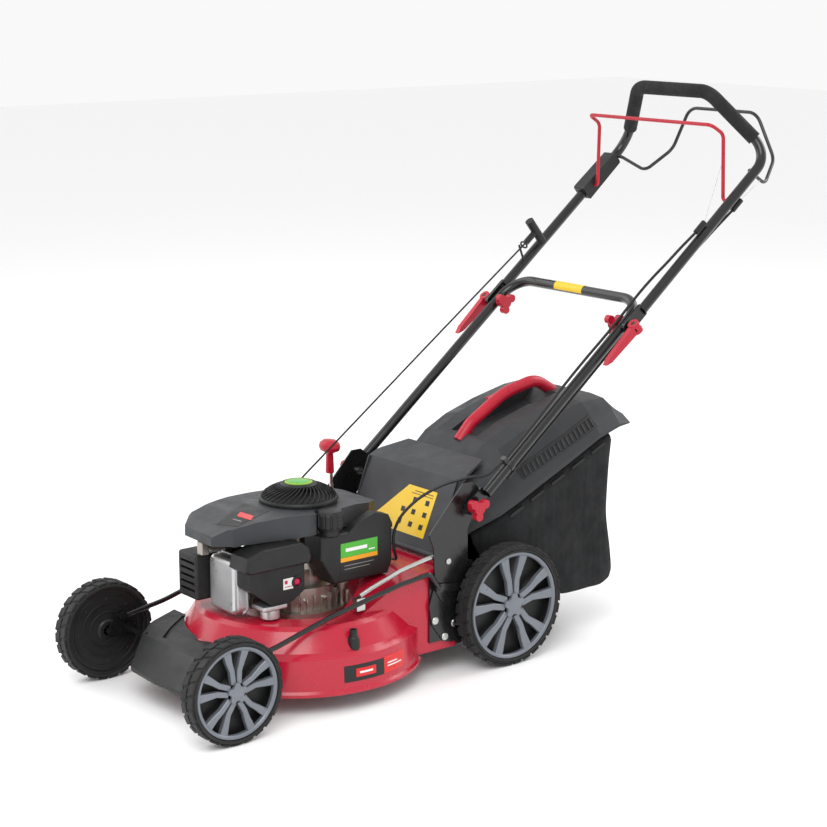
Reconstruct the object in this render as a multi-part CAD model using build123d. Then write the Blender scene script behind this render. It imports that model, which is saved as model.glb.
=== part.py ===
"""Petrol rotary lawn mower with a rear grass catcher, in separate named pieces.

Units are millimetres.  The model is drawn from the ground point under the front
axle: +X is the operator's left, +Y runs back to the handle and +Z is up.  On
export every piece moves by FRONT_AXLE_Y along Y, so that the finished mower
stands with the bottom centre of its bounding box on the origin.
"""
import os
from math import atan2, cos, degrees, hypot, radians, sin, tan

from build123d import *

# Driving dimensions
FRONT_AXLE_Y = -709.0
WHEELBASE = 693.0
FRONT_WHEEL_R = 101.0
REAR_WHEEL_R = 127.0
FRONT_RIM_R = 90.0
REAR_RIM_R = 113.0
WHEEL_WIDTH = 44.0
FRONT_WHEEL_X = 233.0
REAR_WHEEL_X = 214.0
CUTTING_WIDTH = 460.0
SHAFT_Y = 315.0
DECK_LOW = 38.0
DECK_R = 250.0
DECK_WALL = 2.5
DECK_SIDE_X = 180.0
DECK_REAR_Y = 578.0
ENGINE_SEAT_R = 125.0
ENGINE_SEAT_Z = 146.0
RUNNING_GAP = 0.06
FIT_GAP = 0.4

# Height adjustment: every crank has the same radius and the same upper arm
CRANK_DY = 49.5
CRANK_DZ = -6.0
ARM_DY = -26.0
ARM_DZ = 37.0
FRONT_BAR_R = 6.0
REAR_BAR_R = 7.0
PIN_R = 4.0
LEVER_PIVOT = (551.0, 150.0)
LEVER_LEAN = 7.7
LEVER_SWING = 25.0

# Handle: one slope, from the bracket bolt up to the grip
PIVOT_Y = 609.6
PIVOT_Z = 343.0
SLOPE = 38.9
JOINT_T = 521.0
TUBE_R = 11.0
TUBE_WALL = 1.5
LOWER_TUBE_X = 203.0
UPPER_TUBE_X = 219.0
FLAT_T = 8.0
BOLT_R = 4.0
BRACKET_X = 184.0
BRACKET_T = 3.0

UP = (cos(radians(SLOPE)), sin(radians(SLOPE)))


def on_handle(t, off=0.0):
    """(y, z) at distance t up the handle line and off in front of it."""
    y = PIVOT_Y + t * UP[0] - off * UP[1]
    z = PIVOT_Z + t * UP[1] + off * UP[0]
    return y, z


def rod_x(r, x0, x1, y, z):
    """Round bar along X from x0 to x1."""
    return Pos((x0 + x1) / 2, y, z) * Rot(0, 90, 0) * Cylinder(r, abs(x1 - x0))


def rod_z(r, z0, z1, x=0.0, y=0.0):
    """Round bar along Z from z0 to z1."""
    return Pos(x, y, (z0 + z1) / 2) * Cylinder(r, z1 - z0)


def block(x0, x1, y0, y1, z0, z1, edge=0.0):
    """Box between two corners, with every edge rounded when edge is given."""
    box = Pos((x0 + x1) / 2, (y0 + y1) / 2, (z0 + z1) / 2) * Box(x1 - x0, y1 - y0, z1 - z0)
    if edge:
        box = fillet(box.edges(), edge)
    return box


def plate_yz(points, x0, x1):
    """Flat plate: an outline in Y and Z, from x0 to x1."""
    face = make_face(Plane.YZ.offset(min(x0, x1)) * Polyline(*points, close=True))
    return extrude(face, amount=abs(x1 - x0), dir=(1, 0, 0))


def plate_xy(points, z0, z1):
    """Flat plate: an outline in X and Y, from z0 to z1."""
    face = make_face(Plane.XY.offset(z0) * Polyline(*points, close=True))
    return extrude(face, amount=z1 - z0, dir=(0, 0, 1))


def turned(profile, x=0.0, y=0.0):
    """Solid of revolution about a vertical axis from (radius, height) points."""
    face = make_face(Plane.XZ * Polyline(*profile, close=True))
    return Pos(x, y, 0) * revolve(face, axis=Axis.Z)


def swept(points, radii, section_r, hole_r=0.0):
    """Round tube or wire along straight runs joined by tangent arcs."""
    if len(points) > 2:
        path = FilletPolyline(*points, radius=radii)
    else:
        path = Line(*points)
    section = Plane(origin=path @ 0, z_dir=path % 0) * Circle(section_r)
    if hole_r:
        section -= Plane(origin=path @ 0, z_dir=path % 0) * Circle(hole_r)
    return sweep(section, path=path)


def cord_radii(points):
    """The largest tangent arc for each corner of a cord's route."""
    radii = []
    for a, b, c in zip(points, points[1:], points[2:]):
        run_in = Vector(*b) - Vector(*a)
        run_out = Vector(*c) - Vector(*b)
        turn = radians(run_in.get_angle(run_out))
        radii.append(0.45 * min(run_in.length, run_out.length) / tan(turn / 2))
    return radii


def both_sides(shape):
    """The shape and its mirror image across the mower's middle plane."""
    return [shape, mirror(shape, about=Plane.YZ)]


def mirrored_path(points):
    """A route from the left end, across the middle, to its mirror image."""
    return points + [(-x, y, z) for x, y, z in reversed(points)]


def arc_points(cy, cz, r, a0, a1, count):
    """Points round an arc in the YZ plane, angles in degrees from +Y."""
    step = (a1 - a0) / (count - 1)
    turns = [radians(a0 + i * step) for i in range(count)]
    return [(cy + r * cos(a), cz + r * sin(a)) for a in turns]


# Deck


def shrunk(profile, wall, floor):
    """A turned profile moved in by one wall and opened at the bottom."""
    inner = [(max(r - wall, 0.0), z - wall) for r, z in profile]
    inner[0] = (0.0, floor)
    inner[1] = (inner[1][0], floor)
    return inner


def deck_shell():
    """Pressed steel cutting deck with a raised rear tunnel."""
    rise = DECK_LOW
    profile = [
        (0, rise), (DECK_R, rise), (DECK_R, rise + 6), (DECK_R - 4, rise + 11),
        (DECK_R - 6, 110), (DECK_R - 14, 116), (DECK_R - 20, 120), (207, 157), (198, 164),
        (150, 164), (132, 150), (120, ENGINE_SEAT_Z), (0, ENGINE_SEAT_Z),
    ]
    roof = [
        (300, 52), (300, 130), (330, 160), (420, 205), (490, 221), (530, 226),
        (DECK_REAR_Y, 226), (DECK_REAR_Y, 52),
    ]
    bowl = turned(profile, y=SHAFT_Y)
    tunnel = plate_yz(roof, -DECK_SIDE_X, DECK_SIDE_X)
    tunnel = fillet(tunnel.edges().group_by(Axis.Z)[-1].filter_by(Axis.Y), 8)
    well = rod_z(ENGINE_SEAT_R, ENGINE_SEAT_Z, 260, y=SHAFT_Y)
    outer = bowl + tunnel - well

    wall = DECK_WALL
    bowl_in = turned(shrunk(profile, wall, rise - 10), y=SHAFT_Y)
    roof_in = [
        (296, 30), (296, 127), (330, 157), (420, 202), (490, 218), (530, 223.5),
        (DECK_REAR_Y + 10, 223.5), (DECK_REAR_Y + 10, 30),
    ]
    tunnel_in = plate_yz(roof_in, -DECK_SIDE_X + wall, DECK_SIDE_X - wall)
    well_in = rod_z(ENGINE_SEAT_R + wall, ENGINE_SEAT_Z - wall, 260, y=SHAFT_Y)
    deck = outer - (bowl_in + tunnel_in - well_in)

    pivot_y = CRANK_DY
    pivot_z = FRONT_WHEEL_R + CRANK_DZ
    ear = [(pivot_y - 9, 84), (64, 80), (112, 80), (112, 112), (64, 108), (pivot_y - 9, 106)]
    for x in (-122, 118):
        tab = plate_yz(ear, x, x + 4) - rod_z(DECK_R - 3, 60, 120, y=SHAFT_Y)
        deck += tab
    deck -= rod_x(FRONT_BAR_R + RUNNING_GAP, -140, 140, pivot_y, pivot_z)
    deck -= rod_z(16, 100, 200, y=SHAFT_Y)
    for y, z in BRACKET_BOLTS:
        deck -= rod_x(BOLT_R, -200, 200, y, z)
    deck -= rod_z(6, 90, 150, WASH_PORT[0], WASH_PORT[1])
    return deck


BRACKET_BOLTS = [(520, 118), (545, 80), (570, 104)]
WASH_PORT = (221.0, 289.0)


def front_cowl():
    """Moulded nose cover between the front wheels."""
    plan = [
        (-92, -23), (0, -28), (92, -23), (150, 58), (170, 128), (120, 128), (0, 75),
        (-120, 128), (-170, 128), (-150, 58),
    ]
    side = [(-40, 55), (-28, 60), (27, 112), (70, 124), (135, 132), (135, 55)]
    nose = plate_xy(plan, 55, 140) & plate_yz(side, -175, 175)
    deck_room = rod_z(DECK_R - 4, 40, 119, y=SHAFT_Y) + turned(
        [(0, 118), (DECK_R - 16, 118), (208, 160), (0, 160)], y=SHAFT_Y)
    nose -= deck_room
    plan_in = [(x * 0.965, y + (5 if y < 100 else 12)) for x, y in plan]
    side_in = [(-24, 50), (-24, 58), (27, 107), (70, 119.5), (150, 127.5), (150, 50)]
    inside = plate_xy(plan_in, 50, 140) & plate_yz(side_in, -175, 175)
    recess = plate_xy([(-74, 40), (74, 40), (128, 122), (-128, 122)], 100, 140)
    floor = [(30, 107), (70, 121), (150, 130.5), (150, 150), (30, 150)]
    recess = recess & plate_yz(floor, -175, 175)
    nose = nose - inside - recess
    bar = rod_x(FRONT_BAR_R + 1.0, -180, 180, CRANK_DY, FRONT_WHEEL_R + CRANK_DZ)
    tabs = [block(x - 1, x + 5, 30, 112, 78, 114) for x in (-122, 118)]
    nose = nose - bar - Compound(tabs)
    return nose


def bracket_plate():
    """Left steel side plate: carries the handle bolt and the rear height crank."""
    bar_y = WHEELBASE + CRANK_DY
    bar_z = REAR_WHEEL_R + CRANK_DZ
    outline = [
        (505, 298), (511, 306), (591, 391), (616, 391), (640, 372), (634, 345),
        (604, 296), (606, 215), (660, 172), (bar_y + 14, 160), (bar_y + 18, 100),
        (bar_y - 60, 68), (596, 62), (560, 66), (542, 70), (512, 110), (505, 150),
        (520, 196), (516, 270),
    ]
    plate = plate_yz(outline, BRACKET_X, BRACKET_X + BRACKET_T)
    angle = degrees(atan2(-CRANK_DZ, -CRANK_DY))
    reach = hypot(CRANK_DY, CRANK_DZ)
    wide = REAR_BAR_R + 2.5
    outer = arc_points(bar_y, bar_z, reach + wide, angle - 36, angle + 36, 9)
    inner = arc_points(bar_y, bar_z, reach - wide, angle + 36, angle - 36, 9)
    slot = plate_yz(outer + inner, 170, 200)
    plate = plate - slot - rod_x(REAR_BAR_R + RUNNING_GAP, 170, 200, bar_y, bar_z)
    plate -= rod_x(PIN_R + RUNNING_GAP, 170, 200, *LEVER_PIVOT)
    plate -= rod_x(BOLT_R, 170, 200, PIVOT_Y, PIVOT_Z) + rod_x(3.05, 170, 200, 553, 237)
    for y, z in BRACKET_BOLTS:
        plate -= rod_x(BOLT_R, 170, 200, y, z)
    return plate


def lever_point(r, turn=0.0):
    """(y, z) at distance r from the lever's pivot, turned from its rest line."""
    angle = radians(90 + LEVER_LEAN + turn)
    return LEVER_PIVOT[0] + r * cos(angle), LEVER_PIVOT[1] + r * sin(angle)


def lever_arc(r, turn_0, turn_1, count=9):
    """Points at one distance from the lever's pivot."""
    step = (turn_1 - turn_0) / (count - 1)
    return [lever_point(r, turn_0 + i * step) for i in range(count)]


def quadrant():
    """Notched quadrant on the right side plate, and the slot through it."""
    swing = LEVER_SWING + 5
    sheet = plate_yz(lever_arc(126, -4, swing + 7) + lever_arc(86, swing + 7, -4),
                     BRACKET_X, BRACKET_X + BRACKET_T)
    slot = plate_yz(lever_arc(112.5, -swing, swing) + lever_arc(97.5, swing, -swing), 180, 192)
    for i in range(7):
        y, z = lever_point(112.5, LEVER_SWING * (i - 3) / 3)
        slot += rod_x(3.2, 180, 192, y, z)
    return sheet, slot


def spacer_flange():
    """Left angle strip that stands the bracket off the deck wall."""
    strip = block(DECK_SIDE_X, BRACKET_X, 508, 572, 72, 216)
    for y, z in BRACKET_BOLTS:
        strip -= rod_x(BOLT_R, 170, 200, y, z)
    strip -= rod_x(PIN_R + 2, 170, 200, *LEVER_PIVOT)
    return strip


def discharge_chute():
    """Plastic ramp and cheeks that lead the clippings into the catcher."""
    cheek = [
        (DECK_REAR_Y + 0.5, 54), (596, 54), (660, 172), (662, 184), (622, 226),
        (DECK_REAR_Y + 0.5, 226),
    ]
    ramp = [(DECK_REAR_Y + 0.5, 54), (596, 54), (660, 172), (662, 184), (656, 186), (592, 60),
            (DECK_REAR_Y + 0.5, 60)]
    chute = plate_yz(ramp, -176, 176)
    for side in (-1, 1):
        chute += plate_yz(cheek, side * 179, side * 175.5)
    return chute


def wash_port():
    """Hose connector for washing out the deck, a stepped round nozzle."""
    x, y = WASH_PORT
    steps = [(0, 110), (12, 110), (12, 134), (10.5, 140), (8.5, 143), (8.5, 146), (7.5, 147),
             (7.5, 157), (0, 157)]
    deck_slope = turned([(0, 90), (246, 90), (246, 110), (236.1, 116.1), (230.1, 120.1),
                         (207.1, 157.1), (198, 164.1), (0, 164.1)], y=SHAFT_Y)
    port = turned(steps, x, y) - deck_slope + rod_z(5.7, 108, 145, x, y)
    return port - rod_z(4, 100, 160, x, y)


def bolt_x(x0, x1, y, z, head_r=8.0, head=5.0):
    """Bolt along X from x0 to x1 with a domed head beyond x1."""
    shank = rod_x(BOLT_R, x0, x1, y, z)
    side = 1 if x1 > x0 else -1
    cap = rod_x(head_r, x1, x1 + side * head, y, z)
    cap = chamfer(cap.faces().sort_by(Axis.X)[-1 if side > 0 else 0].edges(), head * 0.4)
    return shank + cap


def deck_bolts():
    """Bolts and nuts through the side plates, and the two handle bolts."""
    bolts = []
    outer = BRACKET_X + BRACKET_T
    for y, z in BRACKET_BOLTS:
        bolts += both_sides(bolt_x(DECK_SIDE_X - 8, outer, y, z, head=2.4))
    handle_bolt = rod_x(BOLT_R, BRACKET_X - 6, 214, PIVOT_Y, PIVOT_Z)
    handle_bolt += rod_x(8, BRACKET_X - 6, BRACKET_X, PIVOT_Y, PIVOT_Z)
    return bolts + both_sides(handle_bolt)


def brace_rod():
    """Bright steel stay from the deck shoulder to the left bracket."""
    points = [(168, 345, 200), (170, 372, 211), (174, 440, 234), (179, 505, 248), (179, 545, 252)]
    rod = swept(points, [20, 60, 60], 4.5)
    foot = block(160, 176, 332, 352, 168, 197)
    foot -= turned([(0, 140), (207, 157), (198, 164), (150, 165), (0, 165)], y=SHAFT_Y)
    return [rod - foot, foot - block(100, 200, 300, 400, 100, 172)]


# Height adjustment


def crank_points(y, z):
    """Pivot, wheel stub and upper pin of a crank with its stub at (y, z)."""
    pivot = (y + CRANK_DY, z + CRANK_DZ)
    pin = (pivot[0] + ARM_DY, pivot[1] + ARM_DZ)
    return pivot, (y, z), pin


def crank_plate(points, x0, x1, r):
    """Three-cornered plate round a pivot, a stub and a pin."""
    rounds = Sketch() + [Pos(y, z) * Circle(r) for y, z in points]
    hull = Plane.YZ.offset(x0) * make_hull(rounds.edges())
    return extrude(hull, amount=x1 - x0, dir=(1, 0, 0))


def front_axle():
    """Cranked front axle with its two wheel stubs and rod pins."""
    pivot, stub, pin = crank_points(0.0, FRONT_WHEEL_R)
    bar = rod_x(FRONT_BAR_R, -202, 202, *pivot)
    for side in (-1, 1):
        plate = crank_plate([pivot, stub, pin], 200.4, 204.4, 10)
        bar += plate if side > 0 else mirror(plate, about=Plane.YZ)
        bar += rod_x(FRONT_BAR_R, side * 198, side * 245.5, *stub)
        bar += rod_x(PIN_R, side * 189, side * 202, *pin)
    return bar


def rear_axle():
    """Cranked rear axle: pivot bar, drive axle, gearbox and rod pins."""
    pivot, stub, pin = crank_points(WHEELBASE, REAR_WHEEL_R)
    frame = rod_x(REAR_BAR_R, -190, 190, *pivot)
    frame += rod_x(REAR_BAR_R, -226.5, 226.5, *stub)
    for side in (-1, 1):
        plate = crank_plate([pivot, stub, pin], 188, 189.6, 11)
        frame += plate if side > 0 else mirror(plate, about=Plane.YZ)
    bore = rod_x(REAR_BAR_R, -60, 60, *stub)
    case = rod_x(32, -22, 22, *stub) + rod_x(22, -46, 46, *stub)
    case += rod_z(13, REAR_WHEEL_R - 28, REAR_WHEEL_R + 28, 0, WHEELBASE - 25)
    return [frame, case - bore]


def link_rod(side):
    """Rod that ties the two axle cranks and the lever crank together."""
    front = crank_points(0.0, FRONT_WHEEL_R)[2]
    rear = crank_points(WHEELBASE, REAR_WHEEL_R)[2]
    mid = (LEVER_PIVOT[0] + ARM_DY, LEVER_PIVOT[1] + ARM_DZ)
    x = 194.8
    points = [(x, *front), (x, 118, 146), (x, 254, 182), (x, 426, 214), (x, 500, 222), (x, *mid)]
    rod = swept(points, [300, 500, 40, 14], 5.0)
    for y, z in (front, mid):
        rod += rod_x(9, 190.0, 197.0, y, z)
    tail = [(mid[0] - 4, mid[1] - 8), (mid[0] + 4, mid[1] + 8), (rear[0] + 8, rear[1] + 7),
            (rear[0] + 6, rear[1] - 9)]
    rod += plate_yz(tail, 190.0, 191.4) + rod_x(9, 190.0, 191.4, *rear)
    for y, z in (front, mid, rear):
        rod -= rod_x(PIN_R + RUNNING_GAP, 150, 230, y, z)
    if side < 0:
        rod = mirror(rod, about=Plane.YZ)
    return rod


def lever_crank(side):
    """Crank plate on the side bracket that carries the link rod's middle."""
    mid = (LEVER_PIVOT[0] + ARM_DY, LEVER_PIVOT[1] + ARM_DZ)
    plate = crank_plate([LEVER_PIVOT, mid], 187.3, 189.6, 9)
    plate += rod_x(PIN_R, 184.2, 188, *LEVER_PIVOT) + rod_x(PIN_R, 188, 199, *mid)
    if side < 0:
        plate = mirror(plate, about=Plane.YZ)
    return plate


def height_lever():
    """Hand lever on the right crank, through the quadrant, with its knob."""
    arm = plate_yz([lever_point(9, 90), lever_point(112, 3), lever_point(112, -3),
                    lever_point(9, -90)], -189.6, -187.3)
    arm += rod_x(9, -189.6, -187.3, *LEVER_PIVOT)
    lug = Pos(-180.5, *lever_point(105)) * Rot(LEVER_LEAN, 0, 0) * Box(18.2, 10, 12)
    route = [(-172, *lever_point(102)), (-172, *lever_point(185)), (-166, *lever_point(215)),
             (-166, *lever_point(240))]
    rod = swept(route, [40, 40], 4.0)
    y, z = lever_point(238)
    profile = [(0, z - 28), (7, z - 28), (6.5, z + 12), (10, z + 18), (16, z + 22),
               (16, z + 32), (11, z + 40), (0, z + 42)]
    knob = turned(profile, -166, y)
    return [lever_crank(-1) + arm + lug + rod - knob, knob]


# Wheels


def wheel(side, y, r, rim_r, x, bore_r):
    """Tyre, and wheel disc with its spoked cover, for one side."""
    half = WHEEL_WIDTH / 2
    tyre_section = [
        (rim_r, -half + 3), (rim_r + 4, -half), (r - 5, -half + 0.5), (r, -half + 6),
        (r, half - 6), (r - 5, half - 0.5), (rim_r + 3, half), (rim_r, half - 2),
    ]
    tyre = revolve(make_face(Plane.XZ * Polyline(*tyre_section, close=True)), axis=Axis.Z)
    disc_section = [
        (bore_r, -18), (20, -18), (24, -14), (rim_r - 7, -14), (rim_r - 5, -18), (rim_r, -18),
        (rim_r, 12), (rim_r - 4, 12), (rim_r - 6, -10), (24, -10), (18, 8), (bore_r, 8),
    ]
    disc = revolve(make_face(Plane.XZ * Polyline(*disc_section, close=True)), axis=Axis.Z)
    ring_section = [(rim_r - 9, 12.2), (rim_r - 0.2, 12.2), (rim_r - 0.2, 17), (rim_r - 3, 19),
                    (rim_r - 9, 17)]
    cover = revolve(make_face(Plane.XZ * Polyline(*ring_section, close=True)), axis=Axis.Z)
    hub_r = 0.25 * rim_r
    cover += Pos(0, 0, 16.5) * Cylinder(hub_r, 7)
    for i in range(5):
        for split in (-1, 1):
            spoke = Polyline((hub_r * 0.6, split * 2), (rim_r - 6, split * rim_r * 0.27),
                             (rim_r - 6, split * rim_r * 0.13), (hub_r * 0.6, -split * 3),
                             close=True)
            bar = Pos(0, 0, 13.0) * extrude(make_face(spoke), amount=4.5, dir=(0, 0, 1))
            cover += Rot(0, 0, 72 * i) * bar
    turn = Rot(0, 90, 0) if side > 0 else Rot(0, -90, 0)
    place = Pos(side * x, y, r) * turn
    return place * tyre, [place * disc, place * cover]


# Cutting gear and engine


def crankshaft():
    """Vertical crankshaft with its web."""
    shaft = rod_z(12, 62, 346, y=SHAFT_Y)
    return shaft + rod_z(26, 196, 206, y=SHAFT_Y)


def flywheel():
    """Flywheel with its cooling fins, under the shroud."""
    plate = rod_z(74, 325, 332, y=SHAFT_Y)
    fin = block(34, 72, -2, 2, 332, 344)
    for i in range(12):
        plate += Pos(0, SHAFT_Y, 0) * Rot(0, 0, 30 * i) * fin
    plate += rod_z(22, 332, 346, y=SHAFT_Y)
    return plate - rod_z(12, 320, 350, y=SHAFT_Y)


def cutting_blade():
    """Straight mulching blade, its carrier and its centre bolt."""
    half = CUTTING_WIDTH / 2 - 1.5
    outline = [(-half, -27), (-60, -29), (60, -29), (half, -22), (half, 27), (60, 29), (-60, 29),
               (-half, 22)]
    blade = Pos(0, SHAFT_Y, 0) * plate_xy(outline, 50, 53.5)
    lift = Pos(0, SHAFT_Y, 0) * plate_xy([(half - 70, 20), (half, 20), (half, 27),
                                          (half - 70, 29)], 53, 62)
    blade += lift + Pos(0, SHAFT_Y, 0) * Rot(0, 0, 180) * Pos(0, -SHAFT_Y, 0) * lift
    carrier = rod_z(27, 53.7, 62, y=SHAFT_Y) + rod_z(18, 62, 88, y=SHAFT_Y)
    carrier -= rod_z(12, 62, 90, y=SHAFT_Y)
    bolt = rod_z(15, 42, 50, y=SHAFT_Y)
    return [blade, carrier, bolt]


def crankcase():
    """Aluminium crankcase with its base flange, ribs, filler tube and mouths."""
    case = rod_z(98, ENGINE_SEAT_Z, 156, y=SHAFT_Y) + rod_z(78, 156, 202, y=SHAFT_Y)
    case += rod_z(57, 202, 262, y=SHAFT_Y) + rod_z(24, 262, 312, y=SHAFT_Y)
    case += block(-26, 56, 230, SHAFT_Y, 186, 236)
    for i in range(9):
        rib = block(70, 87, -3, 3, 150, 200)
        case += Pos(0, SHAFT_Y, 0) * Rot(0, 0, 40 * i + 10) * rib
    case -= rod_z(50, 160, 226, y=SHAFT_Y)
    case -= rod_z(12 + RUNNING_GAP, 140, 330, y=SHAFT_Y)
    filler = rod_z(9, 156, 186, 62, 380) + rod_z(13, 186, 198, 62, 380)
    return [case, filler - rod_z(78, 150, 210, y=SHAFT_Y)]


def cylinder():
    """Finned cylinder and head, with the spark plug and its boot."""
    barrel = block(-18, 48, 152, 229.5, 190, 264)
    for i in range(8):
        y = 156 + 9 * i
        barrel += block(-27, 57, y, y + 3, 181, 273)
    barrel += block(-31.5, -14, 152, 170, 262, 306)
    boot = Pos(-24, 130, 296) * Rot(90, 0, 0) * Cylinder(8.5, 43.4)
    boot += block(-33, -15, 98, 116, 284, 312, 3)
    return [barrel, boot]


def rocker_cover():
    """Pressed silver rocker cover on the front of the cylinder head."""
    cover = block(-30, 62, 122, 151.7, 174, 284)
    cover = fillet(cover.edges().filter_by(Axis.Y), 16)
    return fillet(cover.faces().sort_by(Axis.Y)[0].edges(), 9)


SHROUD_PLAN = [
    (-52, 84), (48, 80), (76, 112), (94, 200), (106, 270), (104, 330), (86, 396), (74, 440),
    (48, 474), (-50, 474), (-92, 434), (-112, 360), (-112, 280), (-100, 190), (-80, 118),
]
CAP = (108.0, 318.0)
DOME_Y = SHAFT_Y + 5
ROPE_EXIT = (-72.0, 352.0)


def engine_shroud():
    """Moulded fan shroud over the flywheel, scalloped round the fuel cap."""
    side = [(60, 321), (76, 322), (82, 340), (104, 354), (160, 363), (220, 366), (400, 360),
            (470, 350), (480, 335), (480, 321)]
    shell = plate_xy(SHROUD_PLAN, 321, 380) & plate_yz(side, -130, 130)
    plan_in = [(x * 0.965, (y - 280) * 0.982 + 280) for x, y in SHROUD_PLAN]
    side_in = [(60, 310), (79, 310), (85, 338), (105, 350.5), (160, 360), (220, 363),
               (400, 357), (468, 347), (476, 335), (476, 310)]
    scallop = rod_z(31, 300, 380, *CAP)
    hollow = plate_xy(plan_in, 310, 380) & plate_yz(side_in, -130, 130)
    hollow -= rod_z(34, 300, 380, *CAP)
    boss = rod_z(7, 358, 370, *ROPE_EXIT)
    shell = shell - scallop + boss - hollow - rod_z(77.5, 330, 380, y=DOME_Y)
    return shell - swept(ROPE_ROUTE[:2], [], 3) - rod_z(4, 350, 368, *ROPE_EXIT)


def recoil_grille():
    """Slotted recoil dome, with its round cap."""
    outer = [(0, 356), (77, 356), (77, 368.2), (80, 368.2), (80, 371), (75, 379), (62, 389),
             (44, 396), (28, 399), (0, 399)]
    inner = [(0, 350), (74, 350), (74, 369), (71, 376), (59, 385.5), (43, 392.5), (28, 395.5),
             (0, 395.5)]
    dome = turned(outer, 0, DOME_Y) - turned(inner, 0, DOME_Y)
    for i in range(24):
        slot = block(34, 72, -2.2, 2.2, 374, 402)
        dome -= Pos(0, DOME_Y, 0) * Rot(0, 0, 15 * i) * slot
    cap = turned([(0, 399.2), (27, 399.2), (26, 403), (20, 405), (0, 405)], 0, DOME_Y)
    return [dome - rod_z(8, 350, 380, *ROPE_EXIT), cap]


def fuel_tank():
    """Moulded fuel tank with its filler neck and raised rear shoulder."""
    low = plate_yz([(286, 270), (318, 216), (452, 216), (462, 240), (462, 318), (286, 318)],
                   66, 122)
    low = fillet(low.faces().sort_by(Axis.X)[-1].edges(), 6)
    hump = plate_yz([(345, 310), (370, 330), (418, 347), (452, 338), (462, 318), (462, 310)],
                    96, 122)
    hump -= plate_xy([(0, 300), (110, 300), (100, 400), (92, 480), (0, 480)], 318, 360)
    neck = rod_z(19, 317, 328, *CAP)
    return low + hump + neck


def fuel_cap():
    """Ribbed screw cap."""
    cap = turned([(0, 328.3), (24, 328.3), (26.5, 334), (26.5, 358), (23, 366), (0, 368)], *CAP)
    for i in range(12):
        angle = radians(30 * i)
        cap -= rod_z(3, 334, 372, CAP[0] + 27.5 * cos(angle), CAP[1] + 27.5 * sin(angle))
    return cap


def air_filter():
    """Air filter cover and the intake body below it."""
    cover = plate_yz([(108, 280), (118, 273), (256, 273), (262, 284), (256, 306), (238, 318),
                      (150, 318), (114, 306)], 66, 126)
    cover = fillet(cover.faces().sort_by(Axis.X)[-1].edges(), 6)
    body = plate_yz([(128, 272.7), (256, 272.7), (256, 216), (224, 196), (180, 196), (128, 236)],
                    66, 107)
    return [cover, body - rod_x(8, 96.6, 120, *PRIMER)]


PRIMER = (238.0, 235.0)


def primer_bulb():
    """Soft primer button."""
    button = rod_x(7.5, 100.4, 110, *PRIMER)
    return fillet(button.faces().sort_by(Axis.X)[-1].edges(), 5)


def carburettor():
    """Carburettor body and its bright float bowl."""
    body = block(62, 106, 160, 216, 186, 195.7, 3)
    bowl = turned([(0, 166), (14, 166), (19, 169), (19, 185.7), (0, 185.7)], 88, 186)
    return [body, bowl]


def muffler():
    """Exhaust box and its black slotted guard."""
    box = block(-94, -36, 122, 204, 194, 274, 8)
    guard = block(-100, -32, 96, 210, 188, 280, 6) - block(-96, -35, 100, 220, 192, 276)
    for i in range(5):
        z = 204 + 14 * i
        guard -= block(-90, -40, 90, 104, z, z + 5)
    return [box, guard]


# Flap and grass catcher


def rear_flap():
    """Sprung discharge flap, raised on the front of the catcher."""
    side = [(548, 234), (555, 230), (621, 378), (642, 392), (699, 409), (698, 413), (640, 398),
            (613, 386)]
    plan = [(-150, 540), (150, 540), (150, 630), (120, 705), (-120, 705), (-150, 630)]
    flap = plate_yz(side, -150, 150) & plate_xy(plan, 200, 450)
    flap += rod_x(6, -150, 150, 553, 237)
    for x in (-148, 144):
        flap += plate_yz([(549, 233), (556, 230), (622, 380), (608, 386)], x, x + 4)
    return flap - rod_x(3 + RUNNING_GAP, -160, 160, 553, 237)


def flap_pin():
    """Hinge rod of the flap and the two lugs that hold it."""
    pin = rod_x(3, -166, 187, 553, 237) + rod_x(6, 187, 190, 553, 237)
    for x in (-164, 158):
        pin += block(x, x + 6, 545, 561, 226, 243)
    return pin


def section_xz(y, points):
    """Closed outline in X and Z at one station along Y."""
    return make_face(Plane.XZ.offset(-y) * Polyline(*points, close=True))


CATCHER_STATIONS = [
    (634, 270, 366, 150, 108), (700, 304, 402, 178, 116), (742, 325, 436, 184, 120),
    (800, 353, 463, 186, 122), (880, 388, 486, 186, 124), (970, 430, 503, 186, 126),
    (1030, 446, 505, 183, 130), (1064, 447, 472, 176, 132),
]


def catcher_section(station, top_wall=0.0, side_wall=0.0):
    """Arched cross-section of the catcher's cover at one station."""
    y, rim, top, half, crest = station
    half -= side_wall
    crest -= side_wall
    top -= top_wall
    rise = top - rim
    left = [(half, rim - top_wall), (half, rim + 0.1 * rise), (crest + 20, rim + 0.72 * rise),
            (crest, rim + 0.92 * rise), (crest - 40, top)]
    return section_xz(y, left + [(-x, z) for x, z in reversed(left)])


def catcher_form(top_wall, side_wall):
    """Solid form of the cover, with the finger channel along its top."""
    sections = [catcher_section(s, top_wall, side_wall) for s in CATCHER_STATIONS]
    floor = [(750, 436), (790, 438), (880, 458), (955, 476), (985, 506), (985, 560), (750, 560)]
    half = 42 + side_wall
    channel = plate_yz([(y, z - top_wall) for y, z in floor], -half, half)
    return loft(sections, ruled=True) - channel


def catcher_cover():
    """Hard top of the grass catcher with its rear wall."""
    rear = extrude(catcher_section(CATCHER_STATIONS[-1]), amount=3, dir=(0, 1, 0))
    return catcher_form(0, 0) - catcher_form(3, 3) + rear


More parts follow.
